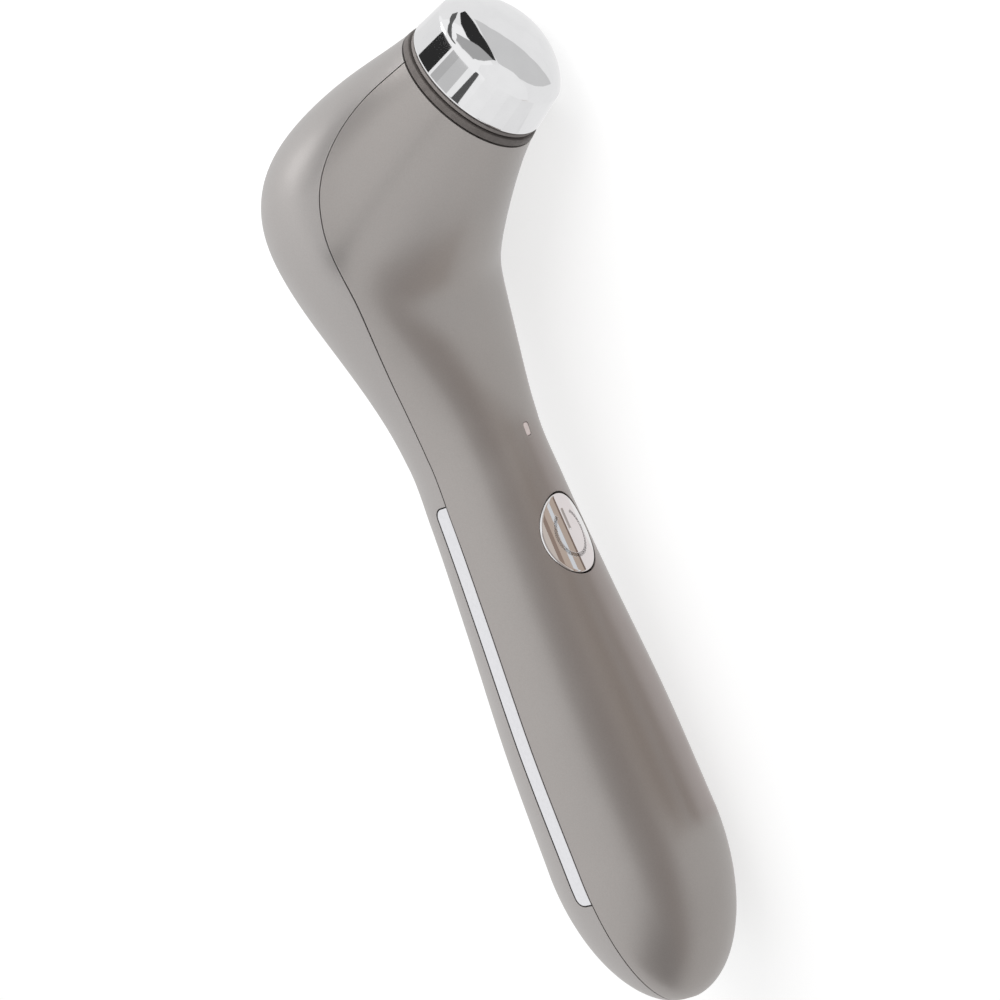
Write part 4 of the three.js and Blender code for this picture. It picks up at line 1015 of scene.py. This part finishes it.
eye = VIEW_PLACE + sum((axis * shift for axis, shift in zip(VIEW_AXES, VIEW_SHIFT)), Vector())
camera_data = bpy.data.cameras.new("camera")
camera_data.sensor_width = 36
camera_data.lens = VIEW_LENS
camera_data.clip_start = 0.01
camera = bpy.data.objects.new("camera", camera_data)
bpy.context.scene.collection.objects.link(camera)
axes = [(turn_to_row @ axis).normalized() for axis in VIEW_AXES]
camera.matrix_world = Matrix.Translation(to_row @ eye) @ Matrix(axes).transposed().to_4x4()
bpy.context.scene.camera = camera

# Cards that only reflections show, as painted reflections, and what the floor is made of


def staged(name, points, faces, material):
    made = make_object(name, points, faces)
    made.data.materials.append(material)
    return made


def toward(right, up, back):
    """A direction in the row frame from its shares along the picture's sides and to the camera."""
    return (axes[0] * right + axes[1] * up + axes[2] * back).normalized()


def seen(tree, *rays):
    """1 for the kinds of ray named and 0 for the rest."""
    path = tree.nodes.new("ShaderNodeLightPath")
    total = path.outputs[rays[0]]
    for ray in rays[1:]:
        either = tree.nodes.new("ShaderNodeMath")
        either.operation = "MAXIMUM"
        tree.links.new(total, either.inputs[0])
        tree.links.new(path.outputs[ray], either.inputs[1])
        total = either.outputs[0]
    return total


# The floor's own grey and glow, and the grey that reflections show beyond its painted shade
FLOOR_COLOUR = 0.48
FLOOR_GLOW = 0.67
FLOOR_PALE = 0.9
# Where along the floor the painted shade ends and is full, and the colours that reflections see across the floor,
# in metres: painted shade, a darker brownish band that the body reflects
SHADE_END, SHADE_FULL = 0.05, 0.03
FLOOR_SHADE = [
    (-1.2, (0.86, 0.86, 0.86)), (-0.5, (0.52, 0.5, 0.49)), (-0.16, (0.37, 0.32, 0.295)),
    (-0.055, (0.36, 0.3, 0.275)), (-0.036, (0.9, 0.89, 0.88)), (1.2, (0.95, 0.95, 0.95)),
]


def floor_finish():
    """A pale matt floor. Metal and glass see it as bright as the backdrop, and darker in front, where painted
    shade gives the body a darker reflected band.
    """
    made = bpy.data.materials.new("floor")
    made.use_nodes = True
    tree = made.node_tree
    link = tree.links.new
    shader = tree.nodes["Principled BSDF"]
    shader.inputs["Base Color"].default_value = (FLOOR_COLOUR,) * 3 + (1,)
    shader.inputs["Roughness"].default_value = 0.9
    shader.inputs["Specular IOR Level"].default_value = 0.0
    shader.inputs["Emission Color"].default_value = (1, 1, 1, 1)
    rays = seen(tree, "Is Camera Ray", "Is Transmission Ray")
    glow = mapped(tree, rays, To_Min=0.0, To_Max=FLOOR_GLOW)
    link(glow.outputs["Result"], shader.inputs["Emission Strength"])
    coords = tree.nodes.new("ShaderNodeTexCoord")
    split = tree.nodes.new("ShaderNodeSeparateXYZ")
    link(coords.outputs["Object"], split.inputs["Vector"])
    low, high = FLOOR_SHADE[0][0], FLOOR_SHADE[-1][0]
    stops = [((place - low) / (high - low), colour) for place, colour in FLOOR_SHADE]
    beside = mapped(tree, split.outputs["X"], From_Min=SHADE_END, From_Max=SHADE_FULL)
    beside.interpolation_type = "SMOOTHSTEP"
    across = mapped(tree, split.outputs["Y"], From_Min=low, From_Max=high)
    shade = tree.nodes.new("ShaderNodeMix")
    shade.data_type = "RGBA"
    shade.inputs["A"].default_value = (FLOOR_PALE,) * 3 + (1,)
    link(beside.outputs["Result"], shade.inputs["Factor"])
    link(ramp(tree, across.outputs["Result"], stops), shade.inputs["B"])
    # Reflections see this painted shade instead of the lit floor
    reflected = tree.nodes.new("ShaderNodeEmission")
    link(shade.outputs["Result"], reflected.inputs["Color"])
    mix = tree.nodes.new("ShaderNodeMixShader")
    link(seen(tree, "Is Glossy Ray"), mix.inputs["Fac"])
    link(shader.outputs["BSDF"], mix.inputs[1])
    link(reflected.outputs["Emission"], mix.inputs[2])
    link(mix.outputs["Shader"], tree.nodes["Material Output"].inputs["Surface"])
    return made


def card(name, corners, level, faces=None):
    """A card of one grey or colour that only reflections show: a painted reflection. Its corners are in metres."""
    made = bpy.data.materials.new(name)
    made.use_nodes = True
    tree = made.node_tree
    tree.nodes.clear()
    glow = tree.nodes.new("ShaderNodeEmission")
    shade = level if isinstance(level, tuple) else (level,) * 3
    glow.inputs["Color"].default_value = (*shade, 1)
    out = tree.nodes.new("ShaderNodeOutputMaterial")
    tree.links.new(glow.outputs["Emission"], out.inputs["Surface"])
    thing = staged(name, corners, faces or [tuple(range(len(corners)))], made)
    for ray in ("camera", "diffuse", "transmission", "volume_scatter", "shadow"):
        setattr(thing, f"visible_{ray}", False)


CARD_STEP = 1.5


def wall_card(name, start, end, level, distance, low=-9.0, high=9.0, narrowing=0.0):
    """A bent card that the wall of the head shows between two angles round its axis, as a painted reflection."""
    taper = math.atan2(HEAD_RADIUS - HEAD_TOP_RADIUS, HEAD_WALL_TOP - HEAD_FOOT)
    axis = Vector((head_direction.x, head_direction.y, 0))
    centre = Vector(in_head(0, 0, (HEAD_BASE + HEAD_WALL_TOP) / 2))
    steps = max(int((end - start) / CARD_STEP), 1)
    corners = []
    for step in range(steps + 1):
        for height, drawn_in in ((low, 0.0), (high, narrowing)):
            share = lerp(step / steps, 0.5, drawn_in)
            turn = math.radians(lerp(start, end, share))
            outward = Vector(in_head(math.cos(turn), math.sin(turn), 0)) - Vector(in_head(0, 0, 0))
            normal = outward * math.cos(taper) + axis * math.sin(taper)
            mirrored = normal * (2 * normal.dot(VIEW_BACK)) - VIEW_BACK
            place = centre + outward * HEAD_RADIUS + mirrored * distance + axis * height
            corners.append(to_row @ place)
    faces = [(2 * i, 2 * i + 2, 2 * i + 3, 2 * i + 1) for i in range(steps)]
    card(name, corners, level, faces)


# Start and end angle in degrees, level and distance of the cards for the head's wall: painted reflections, dark
# bands and light lines on the mirror wall
WALL_CARDS = [
    (118, 144.5, 0.86, 60), (144.5, 162.5, 0.03, 60), (162.5, 165, 0.95, 60), (165, 173, 0.5, 60),
    (173, 184, 0.6, 60), (184, 202, 0.95, 60), (200, 212, 0.93, 30), (212, 224, 0.91, 29),
    (224, 236, 0.88, 28), (236, 250, 0.85, 27), (250, 266, 0.82, 26),
]
for number, (start, end, level, distance) in enumerate(WALL_CARDS):
    wall_card(f"wall_card_{number + 1}", start, end, level, distance)
# A near-black wedge of painted reflection on the wall
wall_card("wall_card_wedge", 185.5, 198.5, 0.1, 59.0, low=-14.0, high=18.5, narrowing=0.98)

# Corners of the cards for the dome and the shoulder, in the product's millimetres: painted reflections, dark, grey
# and dark-edged patches on the dome and a pale patch at the shoulder
DOME_DARK = [
    (217.2, 38.6, 7.4), (215.9, 40.7, 12.1), (209.8, 48.1, 4.1), (198.7, 61.7, -8.5),
    (188.0, 75.3, -15.7), (176.6, 89.6, -22.9), (181.9, 82.1, -29.2), (193.5, 66.9, -28.4),
    (202.5, 55.6, -21.8), (210.8, 45.7, -9.2),
]
DOME_GREY = [
    (207.9, 43.8, -22.0), (199.4, 52.3, -22.9), (188.9, 64.6, -21.9), (175.6, 78.4, -22.7),
    (176.8, 70.5, -31.4), (181.2, 60.0, -38.9), (193.8, 49.8, -34.3), (202.2, 44.2, -29.6),
]
DOME_EDGE = [
    (208.4, 32.8, -13.2), (210.7, 31.9, 2.2), (210.9, 35.5, 6.1), (209.5, 37.5, -2.8),
    (207.5, 36.6, -17.0), (205.6, 40.7, -27.8), (204.0, 46.8, -35.5), (205.4, 38.0, -31.0),
]
SHOULDER_PALE = [
    (172.6, 64.2, -36.9), (167.1, 68.8, -16.1), (158.1, 66.3, -7.0), (146.9, 61.6, 0.7),
    (140.1, 57.8, 2.5), (123.0, 41.3, -9.6), (130.2, 39.4, -26.9), (136.8, 34.9, -49.5),
]
for name, corners, level in (
    ("shoulder_card_pale", SHOULDER_PALE, 0.93), ("dome_card_dark", DOME_DARK, 0.03),
    ("dome_card_grey", DOME_GREY, 0.42), ("dome_card_edge", DOME_EDGE, 0.12),
):
    card(name, [to_row @ Vector(corner) for corner in corners], level)


FLOOR_CARD_HEIGHT = 0.4


def floor_card(name, corners, level):
    """A card just above the floor that only reflections show, a painted reflection, from corners in millimetres in
    the row frame.
    """
    card(name, [(x * MM, y * MM, FLOOR_CARD_HEIGHT * MM) for x, y in corners], level)


# A grey patch of painted reflection that the head shows
FLOOR_GREY = [
    (127.5, -38.9), (106.0, -44.3), (91.1, -42.2), (82.1, -38.8), (75.5, -35.5), (70.4, -31.2),
    (66.8, -26.8), (64.8, -31.1), (63.3, -36.7), (63.0, -44.2), (64.0, -53.7), (69.9, -80.1),
    (97.0, -145.6), (126.9, -132.2), (140.6, -103.9), (135.3, -63.6),
]
floor_card("floor_card_grey", FLOOR_GREY, 0.66)

# Start, end and colour of the stripes of painted reflection that the button's mirror cap shows, cards that run
# along the floor
STRIPE_LOW, STRIPE_HIGH = -60, 16
BUTTON_REFLECTED_STRIPES = [
    (-42, -24, (205, 195, 187)), (-24, -19, (150, 132, 121)), (-19, -13, (190, 174, 162)),
    (-13, -9.8, (218, 221, 225)), (-9.8, -5.6, (186, 170, 158)), (-5.6, -4.4, (126, 110, 101)),
    (-4.4, 6, (236, 229, 228)),
]
for number, (start, end, colour) in enumerate(BUTTON_REFLECTED_STRIPES):
    corners = [(STRIPE_LOW, start), (STRIPE_HIGH, start), (STRIPE_HIGH, end), (STRIPE_LOW, end)]
    floor_card(f"button_reflection_card_{number + 1}", corners, srgb(*colour))


def upright_card(name, start, end, top, level):
    """A card that stands on the floor from one place to another, given in metres, which only reflections show: a
    painted reflection.
    """
    card(name, [(*start, 0.0), (*end, 0.0), (*end, top), (*start, top)], level)


# Grey painted reflections that the body shows from the front and the tail
upright_card("front_card", (-0.55, -0.45), (0.1, -0.45), 0.16, srgb(170, 163, 160))
upright_card("tail_card", (-0.45, 0.1), (-0.45, -0.45), 0.3, srgb(150, 145, 143))

# A bright card beyond the bend that only reflections show: a painted highlight along the bend's edge
HIGHLIGHT_CARD_DISTANCE = 0.3
HIGHLIGHT_CARD_SIZE = (0.12, 0.08)
highlight_way = toward(-0.78, 0.6, 0.0)
highlight_centre = to_row @ Vector((150, 20, 0)) + highlight_way * HIGHLIGHT_CARD_DISTANCE
highlight_side = toward(0, 0, 1) * (HIGHLIGHT_CARD_SIZE[0] / 2)
highlight_up = toward(0.6, 0.78, 0) * (HIGHLIGHT_CARD_SIZE[1] / 2)
card("painted_highlight_card", [
    highlight_centre + highlight_side * a + highlight_up * b for a, b in ((-1, -1), (1, -1), (1, 1), (-1, 1))
], 3.0)

# Floor, world and lamp

FLOOR_HALF = 4.0
corners = [(FLOOR_HALF * a, FLOOR_HALF * b, 0) for a, b in ((-1, -1), (1, -1), (1, 1), (-1, 1))]
staged("floor", corners, [(0, 1, 2, 3)], floor_finish())

world = bpy.data.worlds.new("studio")
world.use_nodes = True
bpy.context.scene.world = world
backdrop = world.node_tree.nodes["Background"]
backdrop.inputs["Color"].default_value = (1, 1, 1, 1)
seen_by = seen(world.node_tree, "Is Camera Ray", "Is Glossy Ray", "Is Transmission Ray")
BACKDROP_LIGHT = 0.6
strength = mapped(world.node_tree, seen_by, To_Min=BACKDROP_LIGHT, To_Max=1.0)
world.node_tree.links.new(strength.outputs["Result"], backdrop.inputs["Strength"])

LAMP_DISTANCE = 0.6
middle = to_row @ Vector((90, 0, 0))


def lamp(name, direction, size, power):
    """A soft square lamp, turned to the product's middle, which no reflection shows."""
    data = bpy.data.lights.new(name, "AREA")
    data.shape = "RECTANGLE"
    data.size = data.size_y = size
    data.energy = power
    made = bpy.data.objects.new(name, data)
    bpy.context.scene.collection.objects.link(made)
    made.visible_glossy = False
    turn = direction.to_track_quat("Z", "Y").to_matrix().to_4x4()
    made.matrix_world = Matrix.Translation(middle + direction * LAMP_DISTANCE) @ turn


lamp("key", toward(-0.6, 0.5, 0.6), 0.5, 1.7)

bpy.context.scene.view_settings.view_transform = "Standard"
